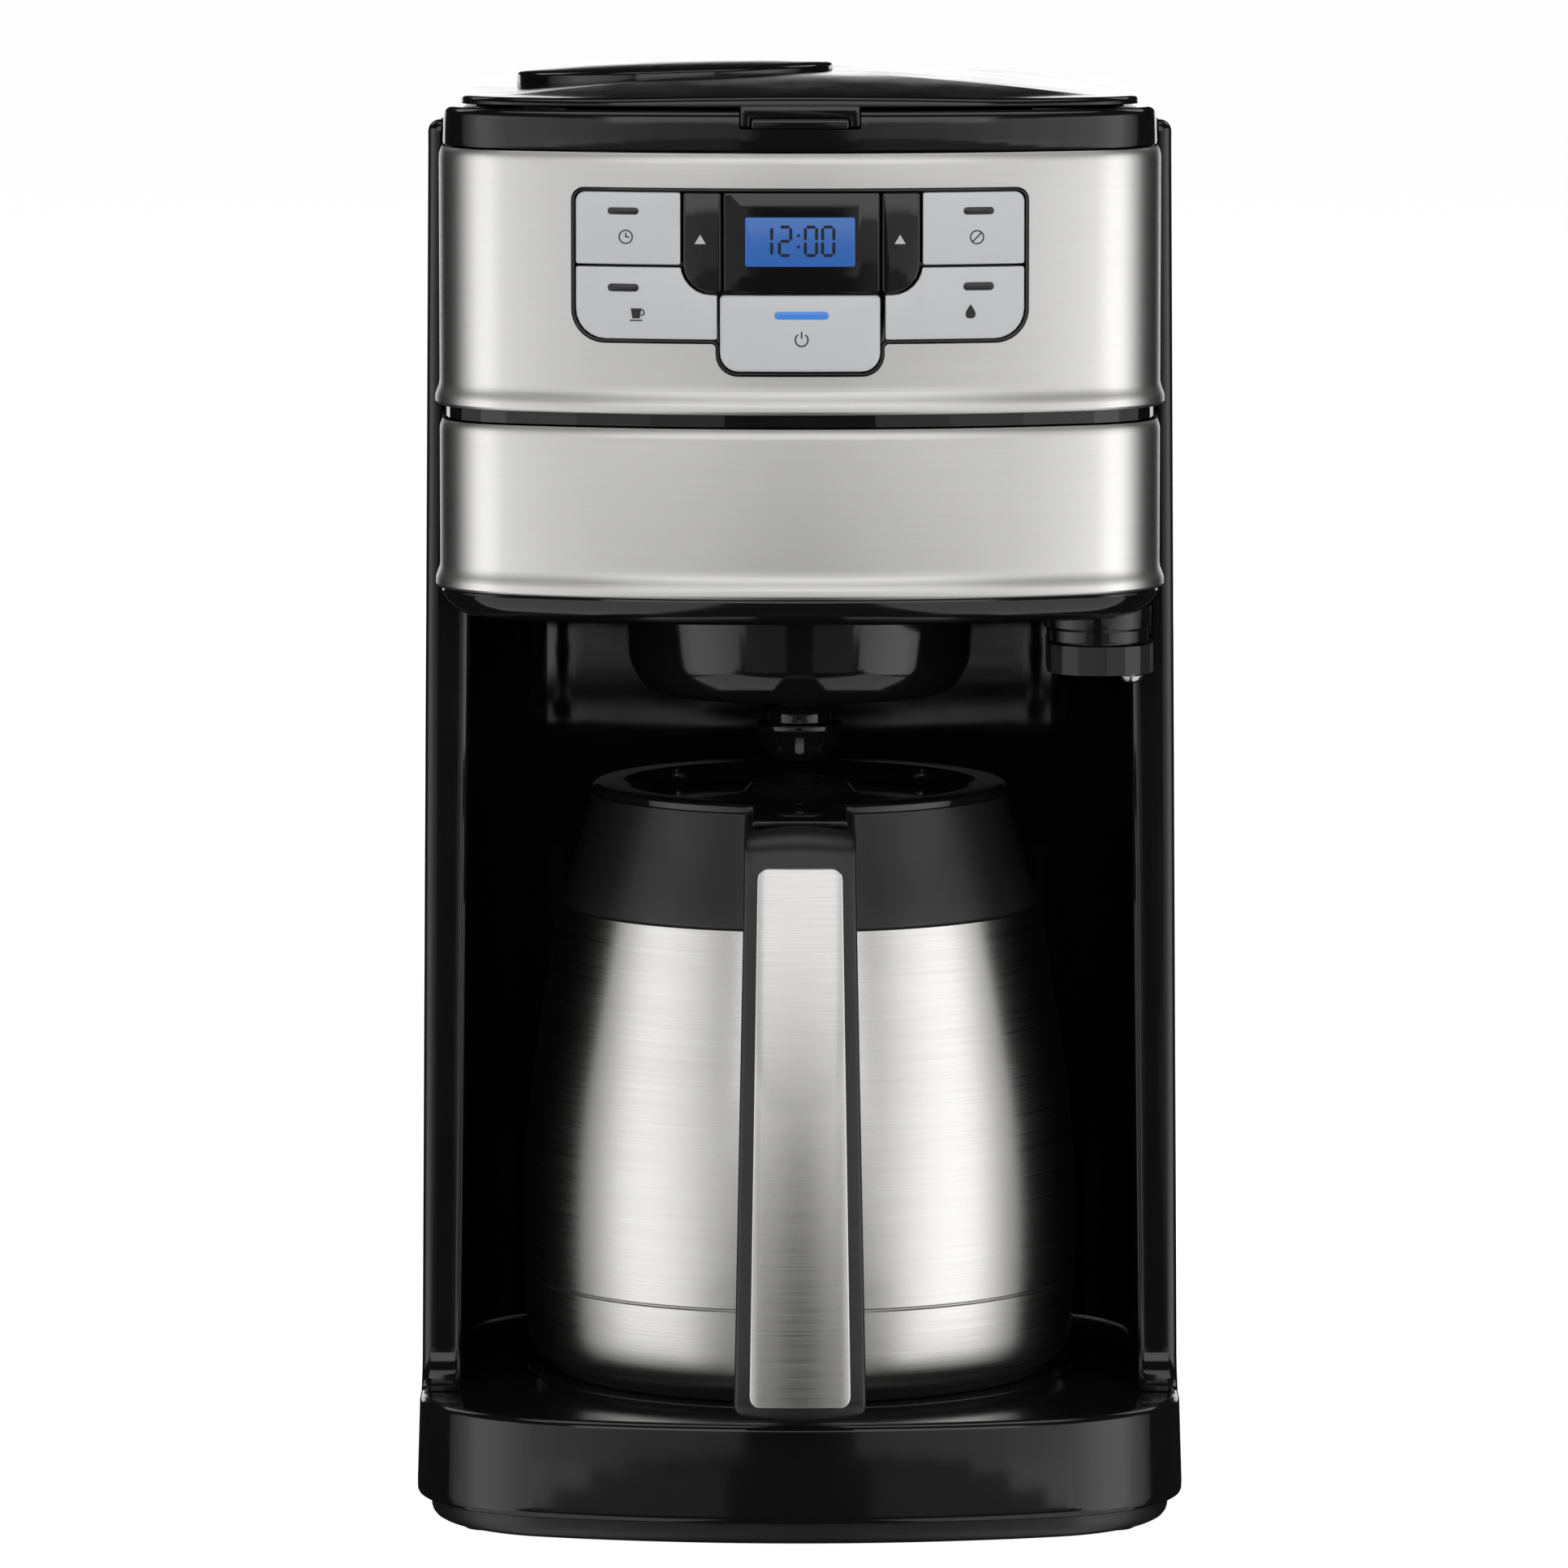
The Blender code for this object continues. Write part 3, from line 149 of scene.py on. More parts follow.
def eased(points, steps=5, closed=False):
    """Round an outline: a point given as (a, b, reach) becomes a short curve."""
    out = []
    for i, point in enumerate(points):
        inner = closed or 0 < i < len(points) - 1
        if len(point) < 3 or not inner:
            out.append(tuple(point[:2]))
            continue
        here = Vector(point[:2])
        before = Vector(points[i - 1][:2]) - here
        after = Vector(points[(i + 1) % len(points)][:2]) - here
        start = here + before.normalized() * min(point[2], before.length * 0.49)
        end = here + after.normalized() * min(point[2], after.length * 0.49)
        for k in range(steps + 1):
            t = k / steps
            out.append(tuple(start * (1 - t) ** 2 + here * 2 * t * (1 - t) + end * t * t))
    return out


def fall(y):
    """How far the machine's top has dropped at depth y."""
    return TOP_FALL * (y - HEAD.front_y)


def tapered(outline):
    """Narrow an outline towards the back of the machine."""
    depth = BACK_Y - COLUMN_Y
    return [(x * (1 - TAPER * max(y - COLUMN_Y, 0) / depth), y) for x, y in outline]


# ---------------------------------------------------------------- meshes

def make(name, bm):
    bmesh.ops.recalc_face_normals(bm, faces=bm.faces)
    mesh = bpy.data.meshes.new(name)
    bm.to_mesh(mesh)
    bm.free()
    mesh.transform(Matrix.Scale(MM, 4))
    obj = bpy.data.objects.new(name, mesh)
    bpy.context.scene.collection.objects.link(obj)
    return obj


def loft(name, sections, closed=True):
    """Join plan sections (height, outline); a height is a number or a function of x and y."""
    bm = bmesh.new()
    rings = []
    for height, outline in sections:
        heights = [height(x, y) if callable(height) else height for x, y in outline]
        rings.append([bm.verts.new((x, y, z)) for (x, y), z in zip(outline, heights)])
    count = len(rings[0])
    for low, high in zip(rings, rings[1:]):
        for i in range(count if closed else count - 1):
            j = (i + 1) % count
            bm.faces.new((low[i], low[j], high[j], high[i]))
    if closed:
        bm.faces.new(list(reversed(rings[0])))
        bm.faces.new(rings[-1])
    return make(name, bm)


def lathe(name, profile, centre=AXIS, steps=144, ring=False):
    """A turned piece from a profile of (radius, height); a ring's profile closes on itself."""
    bm = bmesh.new()
    cx, cy = centre
    rings = []
    for radius, z in profile:
        if radius < 0.001:
            rings.append([bm.verts.new((cx, cy, z))])
        else:
            rings.append([bm.verts.new((x, y, z)) for x, y in arc(cx, cy, radius, 0, 360, steps)[:-1]])
    pairs = list(zip(rings, rings[1:])) + ([(rings[-1], rings[0])] if ring else [])
    for a, b in pairs:
        for i in range(steps):
            j = (i + 1) % steps
            corners = [a[i % len(a)], b[i % len(b)], b[j % len(b)], a[j % len(a)]]
            bm.faces.new(list(dict.fromkeys(corners)))
    return make(name, bm)


def plate(name, outline, low, high):
    """A flat outline in plan made solid from height low to height high."""
    return loft(name, [(low, outline), (high, outline)])


def block(name, low, high):
    return plate(name, [(low[0], low[1]), (high[0], low[1]), (high[0], high[1]), (low[0], high[1])],
                 low[2], high[2])


def rod(name, start, end, radius, steps=48):
    """A cylinder between two points."""
    bm = bmesh.new()
    start, end = Vector(start), Vector(end)
    along = end - start
    spot = Matrix.Translation((start + end) / 2) @ along.to_track_quat("Z", "Y").to_matrix().to_4x4()
    bmesh.ops.create_cone(bm, cap_ends=True, segments=steps, radius1=radius, radius2=radius,
                          depth=along.length, matrix=spot)
    return make(name, bm)


def bake(obj):
    """Apply an object's modifiers to its mesh."""
    bpy.context.view_layer.update()
    graph = bpy.context.evaluated_depsgraph_get()
    mesh = bpy.data.meshes.new_from_object(obj.evaluated_get(graph))
    obj.modifiers.clear()
    obj.data = mesh
    return obj


def combine(obj, operation, others):
    for other in others:
        step = obj.modifiers.new("step", "BOOLEAN")
        step.operation = operation
        step.object = other
        step.solver = "EXACT"
    bake(obj)
    for other in others:
        bpy.data.objects.remove(other, do_unlink=True)
    return obj


def cut(obj, *others):
    return combine(obj, "DIFFERENCE", others)


def join(obj, *others):
    return combine(obj, "UNION", others)


def soften(obj, width, segments=3, angle=35):
    bevel = obj.modifiers.new("soft edge", "BEVEL")
    bevel.width = width * MM
    bevel.segments = segments
    bevel.limit_method = "ANGLE"
    bevel.angle_limit = math.radians(angle)
    return bake(obj)


def thicken(obj, thickness):
    solid = obj.modifiers.new("thickness", "SOLIDIFY")
    solid.thickness = thickness * MM
    solid.offset = -1
    return bake(obj)


def shade(obj, angle=32):
    obj.data.shade_smooth()
    obj.data.set_sharp_from_angle(angle=math.radians(angle))
    return obj


def dress(obj, material, body, replaces=(), smooth=32):
    """Give a piece its material and let it ride on its body."""
    obj.data.materials.clear()
    obj.data.materials.append(material)
    shade(obj, smooth)
    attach(obj, body)
    if replaces:
        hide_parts(*replaces)
    return obj


# ---------------------------------------------------------------- materials

def new_material(name):
    mat = bpy.data.materials.new(name)
    mat.use_nodes = True
    nodes = mat.node_tree.nodes
    return mat, nodes, mat.node_tree.links, nodes["Principled BSDF"]


def noise(nodes, links, scale, detail=3.0, stretch=(1, 1, 1)):
    """Noise over the object's own coordinates, in features per metre."""
    place = nodes.new("ShaderNodeTexCoord")
    mapping = nodes.new("ShaderNodeMapping")
    mapping.inputs["Scale"].default_value = stretch
    texture = nodes.new("ShaderNodeTexNoise")
    texture.inputs["Scale"].default_value = scale
    texture.inputs["Detail"].default_value = detail
    links.new(place.outputs["Object"], mapping.inputs["Vector"])
    links.new(mapping.outputs["Vector"], texture.inputs["Vector"])
    return texture.outputs["Fac"]


def between(nodes, links, value, low, high, first=0.3, last=0.7):
    """Spread a noise value over a range of roughness or brightness."""
    spread = nodes.new("ShaderNodeMapRange")
    spread.inputs["From Min"].default_value = first
    spread.inputs["From Max"].default_value = last
    spread.inputs["To Min"].default_value = low
    spread.inputs["To Max"].default_value = high
    links.new(value, spread.inputs["Value"])
    return spread.outputs["Result"]


def tint(nodes, links, value, dark, light, shader):
    mix = nodes.new("ShaderNodeMix")
    mix.data_type = "RGBA"
    mix.inputs["A"].default_value = (*dark, 1)
    mix.inputs["B"].default_value = (*light, 1)
    links.new(value, mix.inputs["Factor"])
    links.new(mix.outputs["Result"], shader.inputs["Base Color"])


def relief(nodes, links, value, depth, shader, strength=0.5):
    bump = nodes.new("ShaderNodeBump")
    bump.inputs["Strength"].default_value = strength
    bump.inputs["Distance"].default_value = depth * MM
    links.new(value, bump.inputs["Height"])
    links.new(bump.outputs["Normal"], shader.inputs["Normal"])


def moulded(name, dark, light, rough, grain=600, depth=0.01):
    """Plastic or rubber: slight colour drift, uneven gloss and a fine surface grain."""
    mat, nodes, links, shader = new_material(name)
    drift = noise(nodes, links, 14, 4)
    tint(nodes, links, drift, dark, light, shader)
    smudge = noise(nodes, links, 45, 5)
    links.new(between(nodes, links, smudge, *rough), shader.inputs["Roughness"])
    relief(nodes, links, noise(nodes, links, grain, 3), depth, shader)
    return mat


def brushed(name, dark, light, rough, depth=0.004, anisotropy=0.55):
    """Steel brushed level all round, so that its highlights stand up."""
    mat, nodes, links, shader = new_material(name)
    shader.inputs["Metallic"].default_value = 1
    shader.inputs["Anisotropic"].default_value = anisotropy
    shader.inputs["Anisotropic Rotation"].default_value = 0.25
    direction = nodes.new("ShaderNodeTangent")
    direction.direction_type = "RADIAL"
    direction.axis = "Z"
    links.new(direction.outputs["Tangent"], shader.inputs["Tangent"])
    streaks = noise(nodes, links, 40, 8, (0.35, 0.35, 40))
    tint(nodes, links, streaks, dark, light, shader)
    fine = noise(nodes, links, 60, 5, (0.4, 0.4, 50))
    links.new(between(nodes, links, fine, *rough), shader.inputs["Roughness"])
    relief(nodes, links, fine, depth, shader, 0.35)
    return mat


def glowing(name, colour, strength, rough):
    """A lit window: its own colour with a faint unevenness behind a glossy face."""
    mat, nodes, links, shader = new_material(name)
    shader.inputs["Emission Color"].default_value = (*colour, 1)
    shader.inputs["Emission Strength"].default_value = strength
    shader.inputs["Roughness"].default_value = rough
    cells = noise(nodes, links, 900, 2)
    dim = tuple(c * 0.2 for c in colour)
    tint(nodes, links, cells, dim, tuple(c * 0.3 for c in colour), shader)
    return mat


GLOSS = moulded("gloss_black", (0.0065, 0.0065, 0.007), (0.009, 0.009, 0.0095), (0.07, 0.13), 900, 0.003)
SATIN = moulded("satin_black", (0.011, 0.011, 0.012), (0.016, 0.016, 0.017), (0.34, 0.44), 2500, 0.012)
SOFT_GLOSS = moulded("bay_black", (0.006, 0.006, 0.006), (0.009, 0.009, 0.009), (0.2, 0.28), 1600, 0.006)
STEEL = brushed("brushed_steel", (0.72, 0.715, 0.705), (0.78, 0.775, 0.765), (0.38, 0.44), 0.003)
SHELL_STEEL = brushed("carafe_steel", (0.56, 0.555, 0.545), (0.63, 0.625, 0.615), (0.26, 0.34), 0.002, 0.45)
PLAIN_STEEL = brushed("plain_steel", (0.55, 0.55, 0.54), (0.65, 0.65, 0.64), (0.2, 0.3), 0.002, 0.2)
SILVER = moulded("silver_satin", (0.74, 0.745, 0.76), (0.8, 0.805, 0.82), (0.32, 0.4), 3000, 0.008)
RUBBER = moulded("foot_rubber", (0.012, 0.012, 0.012), (0.02, 0.02, 0.02), (0.6, 0.75), 1200, 0.05)
SILICONE = moulded("silicone", (0.42, 0.41, 0.38), (0.5, 0.49, 0.46), (0.35, 0.5), 900, 0.01)
SMOKED = moulded("tank_plastic", (0.03, 0.032, 0.036), (0.045, 0.047, 0.052), (0.16, 0.25), 700, 0.01)
ALLOY = moulded("cast_alloy", (0.4, 0.4, 0.41), (0.55, 0.55, 0.56), (0.4, 0.6), 700, 0.05)
BOARD = moulded("circuit_board", (0.008, 0.07, 0.02), (0.015, 0.11, 0.035), (0.35, 0.5), 500, 0.02)
LCD = glowing("lcd_blue", (0.03, 0.115, 0.38), 0.88, 0.3)
LIT = glowing("lamp_lit", (0.05, 0.2, 0.6), 0.95, 0.25)
UNLIT = moulded("lamp_unlit", (0.018, 0.018, 0.02), (0.03, 0.03, 0.032), (0.18, 0.3), 1500, 0.01)
INK = moulded("ink_dark", (0.014, 0.014, 0.016), (0.02, 0.02, 0.022), (0.4, 0.5), 2500, 0.003)
PALE_INK = moulded("ink_pale", (0.6, 0.6, 0.61), (0.68, 0.68, 0.69), (0.4, 0.5), 2500, 0.003)
SEGMENT = moulded("lcd_segment", (0.004, 0.006, 0.012), (0.007, 0.009, 0.018), (0.3, 0.4), 2500, 0.002)

SLOT_LOOKS = {
    "black_gloss": GLOSS, "black_satin": SATIN, "stainless": PLAIN_STEEL, "silver_paint": SILVER,
    "lcd_screen": LCD, "cast_alloy": ALLOY, "foot_rubber": RUBBER, "silicone": SILICONE,
    "tank_plastic": SMOKED, "circuit_board": BOARD,
}
ALLOY.node_tree.nodes["Principled BSDF"].inputs["Metallic"].default_value = 1


# ---------------------------------------------------------------- base

def round_over(top, radius, inset, steps=7):
    """Heights and insets of a rounded upper edge, from the side up on to the top."""
    turns = [math.radians(90 * i / steps) for i in range(steps + 1)]
    return [(top - radius + radius * math.sin(a), inset + radius * (1 - math.cos(a))) for a in turns]


def build_base():
    def outline(inset):
        return bow_outline(grown(BASE, -inset), BACK_Y - inset, BACK_R - inset)

    profile = [(SKIRT_TOP, 1.5), (SKIRT_TOP + 0.15, 0.9), (SKIRT_TOP + 0.5, 0.35), (SKIRT_TOP + 1.2, 0.05),
               (SKIRT_TOP + 3, 0)]
    profile += round_over(BASE_TOP, 2.2, 0.7)
    base = loft("base_shell", [(z, outline(inset)) for z, inset in profile])
    plate_box = box("carafe_plate")
    recess_r = plate_box[1].x + 0.6
    recess = lathe("recess", [(0, BASE_TOP + 5), (recess_r + 0.6, BASE_TOP + 5), (recess_r + 0.6, BASE_TOP),
                              (recess_r, BASE_TOP - 0.6), (recess_r, BASE_TOP - 1), (0, BASE_TOP - 1)])
    hollow = plate("hollow", outline(4.6), 0, BASE_TOP - 2.6)
    gland_box = box("cord_outlet")
    gland = (gland_box[0] + gland_box[1]) / 2
    hole = rod("gland_hole", (gland.x, 110, gland.z), (gland.x, 150, gland.z), 7)
    cut(base, hollow, recess, hole)
    dress(base, GLOSS, "machine", ["base_housing"])

    skirt_top = SKIRT_TOP - GAP
    low = [(FOOT_H, 7.4), (FOOT_H + 0.3, 6.2), (FOOT_H + 0.9, 5.1), (FOOT_H + 1.9, 4.3), (FOOT_H + 3.2, 3.9),
           (skirt_top, 3.8)]
    cover = loft("base_skirt", [(z, outline(inset)) for z, inset in low])
    cut(cover, plate("tray", outline(7.6), FOOT_H + 2.6, 30))
    dress(cover, SATIN, "machine", ["base_cover"])

    top = plate_box[1].z
    profile = eased([(0, top), (plate_box[1].x, top, 0.4), (plate_box[1].x, plate_box[0].z),
                     (0, plate_box[0].z)])
    dress(lathe("warming_disc", profile), SOFT_GLOSS, "machine", ["carafe_plate"])

    for number in range(1, 5):
        low, high = box(f"foot_{number}")
        middle = (low + high) / 2
        radius = (high.x - low.x) / 2
        profile = eased([(0, high.z), (radius, high.z), (radius, 0, 0.9), (radius - 2, 0, 0.4),
                         (radius - 2.6, 0.5),
                         (0, 0.5)], 4)
        foot = lathe(f"foot_pad_{number}", profile, (middle.x, middle.y), 48)
        dress(foot, RUBBER, "machine", [f"foot_{number}"])


# ---------------------------------------------------------------- rear housing

def lean_w(low_w, high_w, low, high):
    return lambda z: low_w + (high_w - low_w) * (z - low) / (high - low)


def build_rear():
    low = BASE_TOP + GAP
    foot_top, fillet, steps = low + 10.4, 11, 12
    outer_w = lean_w(COLUMN_LOW_W, COLUMN_TOP_W, foot_top, COLUMN_TOP)
    bay_w = lean_w(BAY_LOW_W, BAY_TOP_W, BASE_TOP, CEILING)

    foot = []
    for step in range(steps + 1):
        turn = math.radians(90 * step / steps)
        z = low + (foot_top - low) * (1 - math.cos(turn))
        foot.append((z, COLUMN_Y - fillet * (1 - math.sin(turn))))

    def outer(half_w, front, inset=0):
        return tapered(rounded_box(-half_w + inset, front + inset * 0.6, half_w - inset, BACK_Y - inset * 0.6,
                                   (3, 3, BACK_R, BACK_R), 9))

    sections = [(z, outer(outer_w(foot_top), front)) for z, front in foot]
    top_w = outer_w(COLUMN_TOP - 5)
    for z, inset in [(COLUMN_TOP - 7, 0)] + round_over(COLUMN_TOP, 3.2, 0, 8):
        sections.append((lambda x, y, z=z: z - fall(y), outer(top_w, COLUMN_Y, inset)))
    rear = loft("rear_shell", sections)

    edge_r = 2.2

    def bay_back(half_w):
        """The bay's back wall, from the right side round to the left: a wide bow with rounded corners."""
        grow = half_w - BAY_LOW_W
        bow = Bow(half_w, -AXIS[1] - half_w, BAY_BACK_R + grow, BAY_CORNER_R + grow)
        return [(x, -y) for x, y in reversed(bow_front(bow, 0))]

    def bay(half_w, front):
        """The bay in plan, with rounded edges where it opens through the front."""
        side = half_w + edge_r
        curve = arc(-side, front + edge_r, edge_r, -78, 0, 6)
        lead = (curve[0][0] - 11.7, curve[0][1] - 2.5)
        left = [lead] + curve
        right = [(-x, y) for x, y in left]
        return right + bay_back(half_w) + left[::-1]

    def plain_bay(half_w):
        return [(half_w, -80)] + bay_back(half_w) + [(-half_w, -80)]

    bay_sections = [(low - 5, bay(bay_w(low), foot[0][1]))]
    bay_sections += [(z, bay(bay_w(z), front)) for z, front in foot]
    bay_sections += [(CEILING, bay(bay_w(CEILING), COLUMN_Y))]
    cut(rear, loft("bay", bay_sections))

    wall = 3
    hollow = plate("rear_hollow", tapered(rounded_box(-97.8, COLUMN_Y + 3.4, 97.8, BACK_Y - wall,
                                                      (2, 2, BACK_R - wall, BACK_R - wall))), low + 2.6, 420)
    bay_wall = loft("bay_wall", [(z, plain_bay(bay_w(z) + wall)) for z in (low - 5, DOOR_TOP)])
    pocket_low, pocket_high, pocket_side = LUG_BOX[0].z - GAP, DOOR_TOP + 0.6, LUG_BOX[1].x + GAP
    keep = block("keep", (60, -60, pocket_low - 3), (99, -33, DOOR_TOP + 0.1))
    cut(hollow, bay_wall, keep)
    opening = block("head_opening", (-97.6, -80, DOOR_TOP + 0.1), (97.6, COLUMN_Y + 5, 420))
    pocket = block("pocket", (66, -80, pocket_low), (pocket_side, -36, pocket_high))
    cut(rear, hollow, opening, soften(pocket, 0.8))
    dress(rear, GLOSS, "machine", ["rear_housing"])


# ---------------------------------------------------------------- head

def bow_y(x):
    """Depth of the head's bowed front at x."""
    return HEAD.front_y + HEAD.radius - math.sqrt(HEAD.radius ** 2 - x * x)


def follow_bow(obj, spacing=2.6):
    """Bend an upright flat piece round the head's bowed front."""
    bm = bmesh.new()
    bm.from_mesh(obj.data)
    reach = max(abs(v.co.x) for v in bm.verts) / MM
    count = int(reach / spacing)
    for i in range(-count, count + 1):
        geometry = list(bm.verts) + list(bm.edges) + list(bm.faces)
        place = ((i + 0.37) * spacing * MM, 0, 0)
        bmesh.ops.bisect_plane(bm, geom=geometry, plane_co=place, plane_no=(1, 0, 0))
    for v in bm.verts:
        v.co.y += bow_y(v.co.x / MM) * MM
    bm.to_mesh(obj.data)
    bm.free()
    return obj


def upright_plate(name, outline, proud, depth):
    """A flat plate standing up, its outline given as (x, z), before it is bent round the bow."""
    obj = plate(name, outline, proud - depth, proud)
    obj.data.transform(Matrix.Rotation(math.radians(90), 4, "X"))
    return obj


def panel_outline(grow):
    """Outline of the control panel (x, z): a rounded box and the brew button's lobe below it."""
    left, low, right, high = -61.3 - grow, 328.7 - grow, 61.3 + grow, 370.4 + grow
    lobe_w, lobe_low, lobe_r = 22.6 + grow, 320 - grow, 6 + grow
    low_r, high_r, nook = 9 + grow, 3.5 + grow, 1.2 - grow
    points = arc(left + low_r, low + low_r, low_r, 180, 270, 10)
    points += arc(-lobe_w - nook, low - nook, nook, 90, 0, 4)
    points += arc(-lobe_w + lobe_r, lobe_low + lobe_r, lobe_r, 180, 270, 8)
    points += arc(lobe_w - lobe_r, lobe_low + lobe_r, lobe_r, 270, 360, 8)
    points += arc(lobe_w + nook, low - nook, nook, 180, 90, 4)
    points += arc(right - low_r, low + low_r, low_r, 270, 360, 10)
    points += arc(right - high_r, high - high_r, high_r, 0, 90, 6)
    points += arc(left + high_r, high - high_r, high_r, 90, 180, 6)
    return points


def band_profile(low, high):
    """Height and growth of a stainless band: rolled out low down, turned in at the top."""
    roll = [(0, -0.5), (0.12, 0.25), (0.45, 0.85), (1.0, FLARE), (2.4, FLARE - 0.02), (3.1, FLARE - 0.16),
            (4.2, 0.62), (5.2, 0.22), (6.4, 0.02), (8, 0)]
    turn = [(3.0, 0), (2.2, -0.06), (1.4, -0.22), (0.6, -0.5), (0, -0.9)]
    return [(low + up, grow) for up, grow in roll] + [(high - down, grow) for down, grow in turn]


def build_band(name, low, high, side_y):
    sections = [(z, bow_front(grown(HEAD, grow), side_y)) for z, grow in band_profile(low, high)]
    sheet = loft(name, sections, False)
    return thicken(sheet, 0.9)


def build_head():
    band = build_band("head_band", CEILING, BAND_TOP, COLUMN_Y - 0.4)
    cut(band, follow_bow(upright_plate("window", panel_outline(0), 10, 20)))
    dress(band, STEEL, "machine", ["upper_band"])

    def ring_outline(inset):
        return tapered(bow_outline(grown(HEAD, -1 - inset), BACK_Y - 4 - inset, BACK_R - 4))

    ring_low = RING_BOX[0].z
    sections = [(ring_low, ring_outline(0.8)), (ring_low + 0.3, ring_outline(0.2)),
                (ring_low + 0.9, ring_outline(0))]
    for z, inset in round_over(RING_TOP, 2.4, 0.3, 7):
        sections.append((lambda x, y, z=z: z - fall(y), ring_outline(inset)))
    ring = loft("top_rim", sections)
    mouth = plate("mouth", bow_outline(grown(HEAD, -10), 95, 8), ring_low - 5, 400)
    notch = soften(block("notch", (-16.3, -125, 386), (16.3, -97.5, 410)), 0.8)
    y, z = LID_HINGE
    trough = rod("trough", (-60, y, z), (60, y, z), 5.2)
    bore = rod("bore", (-67, y, z), (67, y, z), 2.3)
    cut(ring, mouth, notch, trough, bore)
    dress(ring, GLOSS, "machine", ["top_ring"])


# ---------------------------------------------------------------- lid

def arch(x, y):
    """Height of the lid's upper face, which arches both ways but keeps a rim at the corners."""
    depth = (y + 10) * MM
    along = 0.25 if depth < 0 else 0.45
    height = LID_CREST - (along * depth ** 2 + 0.436 * (x * MM) ** 2) / MM
    rim = LID_LOW - fall(y) + 2.2
    blend = 0.5 + 0.5 * math.tanh((height - rim) * 1.6)
    return rim + (height - rim) * blend


def lid_section(inset, drop=0.0):
    plan = Bow(LID_W - inset, LID_FRONT + inset, 214 - inset, max(23 - inset, 6))
    back = LID_HINGE[0] - 1.5 - inset * 0.9
    return (lambda x, y: arch(x, y) - drop), tapered(bow_outline(plan, back, max(16 - inset, 4)))


def build_lid():
    edge = lid_section(0.25)[1]
    sections = [(lambda x, y: LID_LOW - fall(y), edge),
                (lambda x, y: LID_LOW - fall(y) + 0.25, lid_section(0)[1])]
    for drop, inset in ((1.5, 0), (1.0, 0.12), (0.55, 0.4), (0.25, 0.8), (0.08, 1.4)):
        sections.append(lid_section(inset, drop))
    sections += [lid_section(inset) for inset in (2.4, 4, 7, 11, 16, 22, 29, 37, 46, 56, 66, 76)]
    lid = loft("lid_cover", sections)

    circle = [(radius, rise) for radius, rise in
              ((44, -2.5), (44, 0.35), (43.9, 0.7), (43.6, 1.05), (43.1, 1.3), (42.2, 1.5), (39, 1.7),
               (34, 1.95),
               (27, 2.15), (20, 2.28), (12, 2.37), (4, 2.4))]
    rings = []
    for radius, rise in circle:
        rings.append((lambda x, y, rise=rise: arch(x, y) + rise, arc(*LID_DISC, radius, 0, 360, 128)[:-1]))
    dress(loft("lid_disc", rings), GLOSS, "lid")
    tab = block("lid_tab", (-15.9, -105.6, 386.8), (15.9, -99.6, 392.6))
    cut(tab, block("tab_mouth", (-13.4, -120, 380), (13.4, -90, 389.2)))
    dress(soften(tab, 0.55), GLOSS, "lid")
    under = loft("under", [(LID_LOW - 20, lid_section(8)[1])]
                 + [lid_section(inset, 2.4) for inset in (8, 28, 60)])
    cut(lid, under)
    y, z = LID_HINGE
    join(lid, rod("knuckle", (-58, y, z), (58, y, z), KNUCKLE_R))
    cut(lid, rod("knuckle_bore", (-68, y, z), (68, y, z), 2.3))
    dress(lid, GLOSS, "lid", ["lid"])

    low, high = box("lid_latch")
    latch = soften(block("latch_bar", low, high), 0.55, 4)
    dress(latch, GLOSS, "latch", ["lid_latch"])


# ---------------------------------------------------------------- control panel

BUTTONS = {
    "button_program": ((-60.0, 349.9, -32.0, 369.2), (0.6, 0.6, 0.6, 2.6)),
    "button_small_batch": ((-60.0, 329.9, -22.2, 349.1), (8, 0.6, 0.6, 0.6)),
    "button_hour": ((-31.2, 342.6, -21.2, 369.2), (7.5, 0.6, 0.6, 0.6)),
    "button_minute": ((22.0, 342.6, 32.0, 369.2), (0.6, 7.5, 0.6, 0.6)),
    "button_grind_off": ((32.8, 349.9, 60.0, 369.2), (0.6, 0.6, 2.6, 0.6)),
    "button_clean": ((22.8, 329.9, 60.0, 349.1), (0.6, 8, 0.6, 0.6)),
    "button_brew": ((-21.4, 321.4, 21.4, 341.8), (5, 5, 1.2, 1.2)),
}
DISPLAY = ((-20.4, 342.7, 21.2, 369.2), (0.6, 0.6, 0.6, 0.6))
SCREEN = ((-14.8, 349.4, 14.8, 362.7), (0.7, 0.7, 0.7, 0.7))
LAMPS = {
    "button_program": (-51.5, 363.1, -43.1, 365.1), "button_small_batch": (-51.5, 342.5, -43.1, 344.7),
    "button_grind_off": (43.6, 363.1, 51.9, 365.2), "button_clean": (43.6, 342.8, 51.9, 345.1),
    "button_brew": (-6.9, 335.4, 7.7, 337.6),
}
BREW_PROUD, BUTTON_PROUD, BUTTON_DEPTH = 1.4, 0.3, 3


def panel_box(spec, grow=0.0):
    (left, low, right, high), radii = spec
    return rounded_box(left - grow, low - grow, right + grow, high + grow, [r + grow for r in radii], 6)


def pill(edges, grow=0.0):
    left, low, right, high = edges
    radius = (high - low) / 2 + grow
    return rounded_box(left - grow, low - grow, right + grow, high + grow, (radius * 0.98,) * 4, 6)


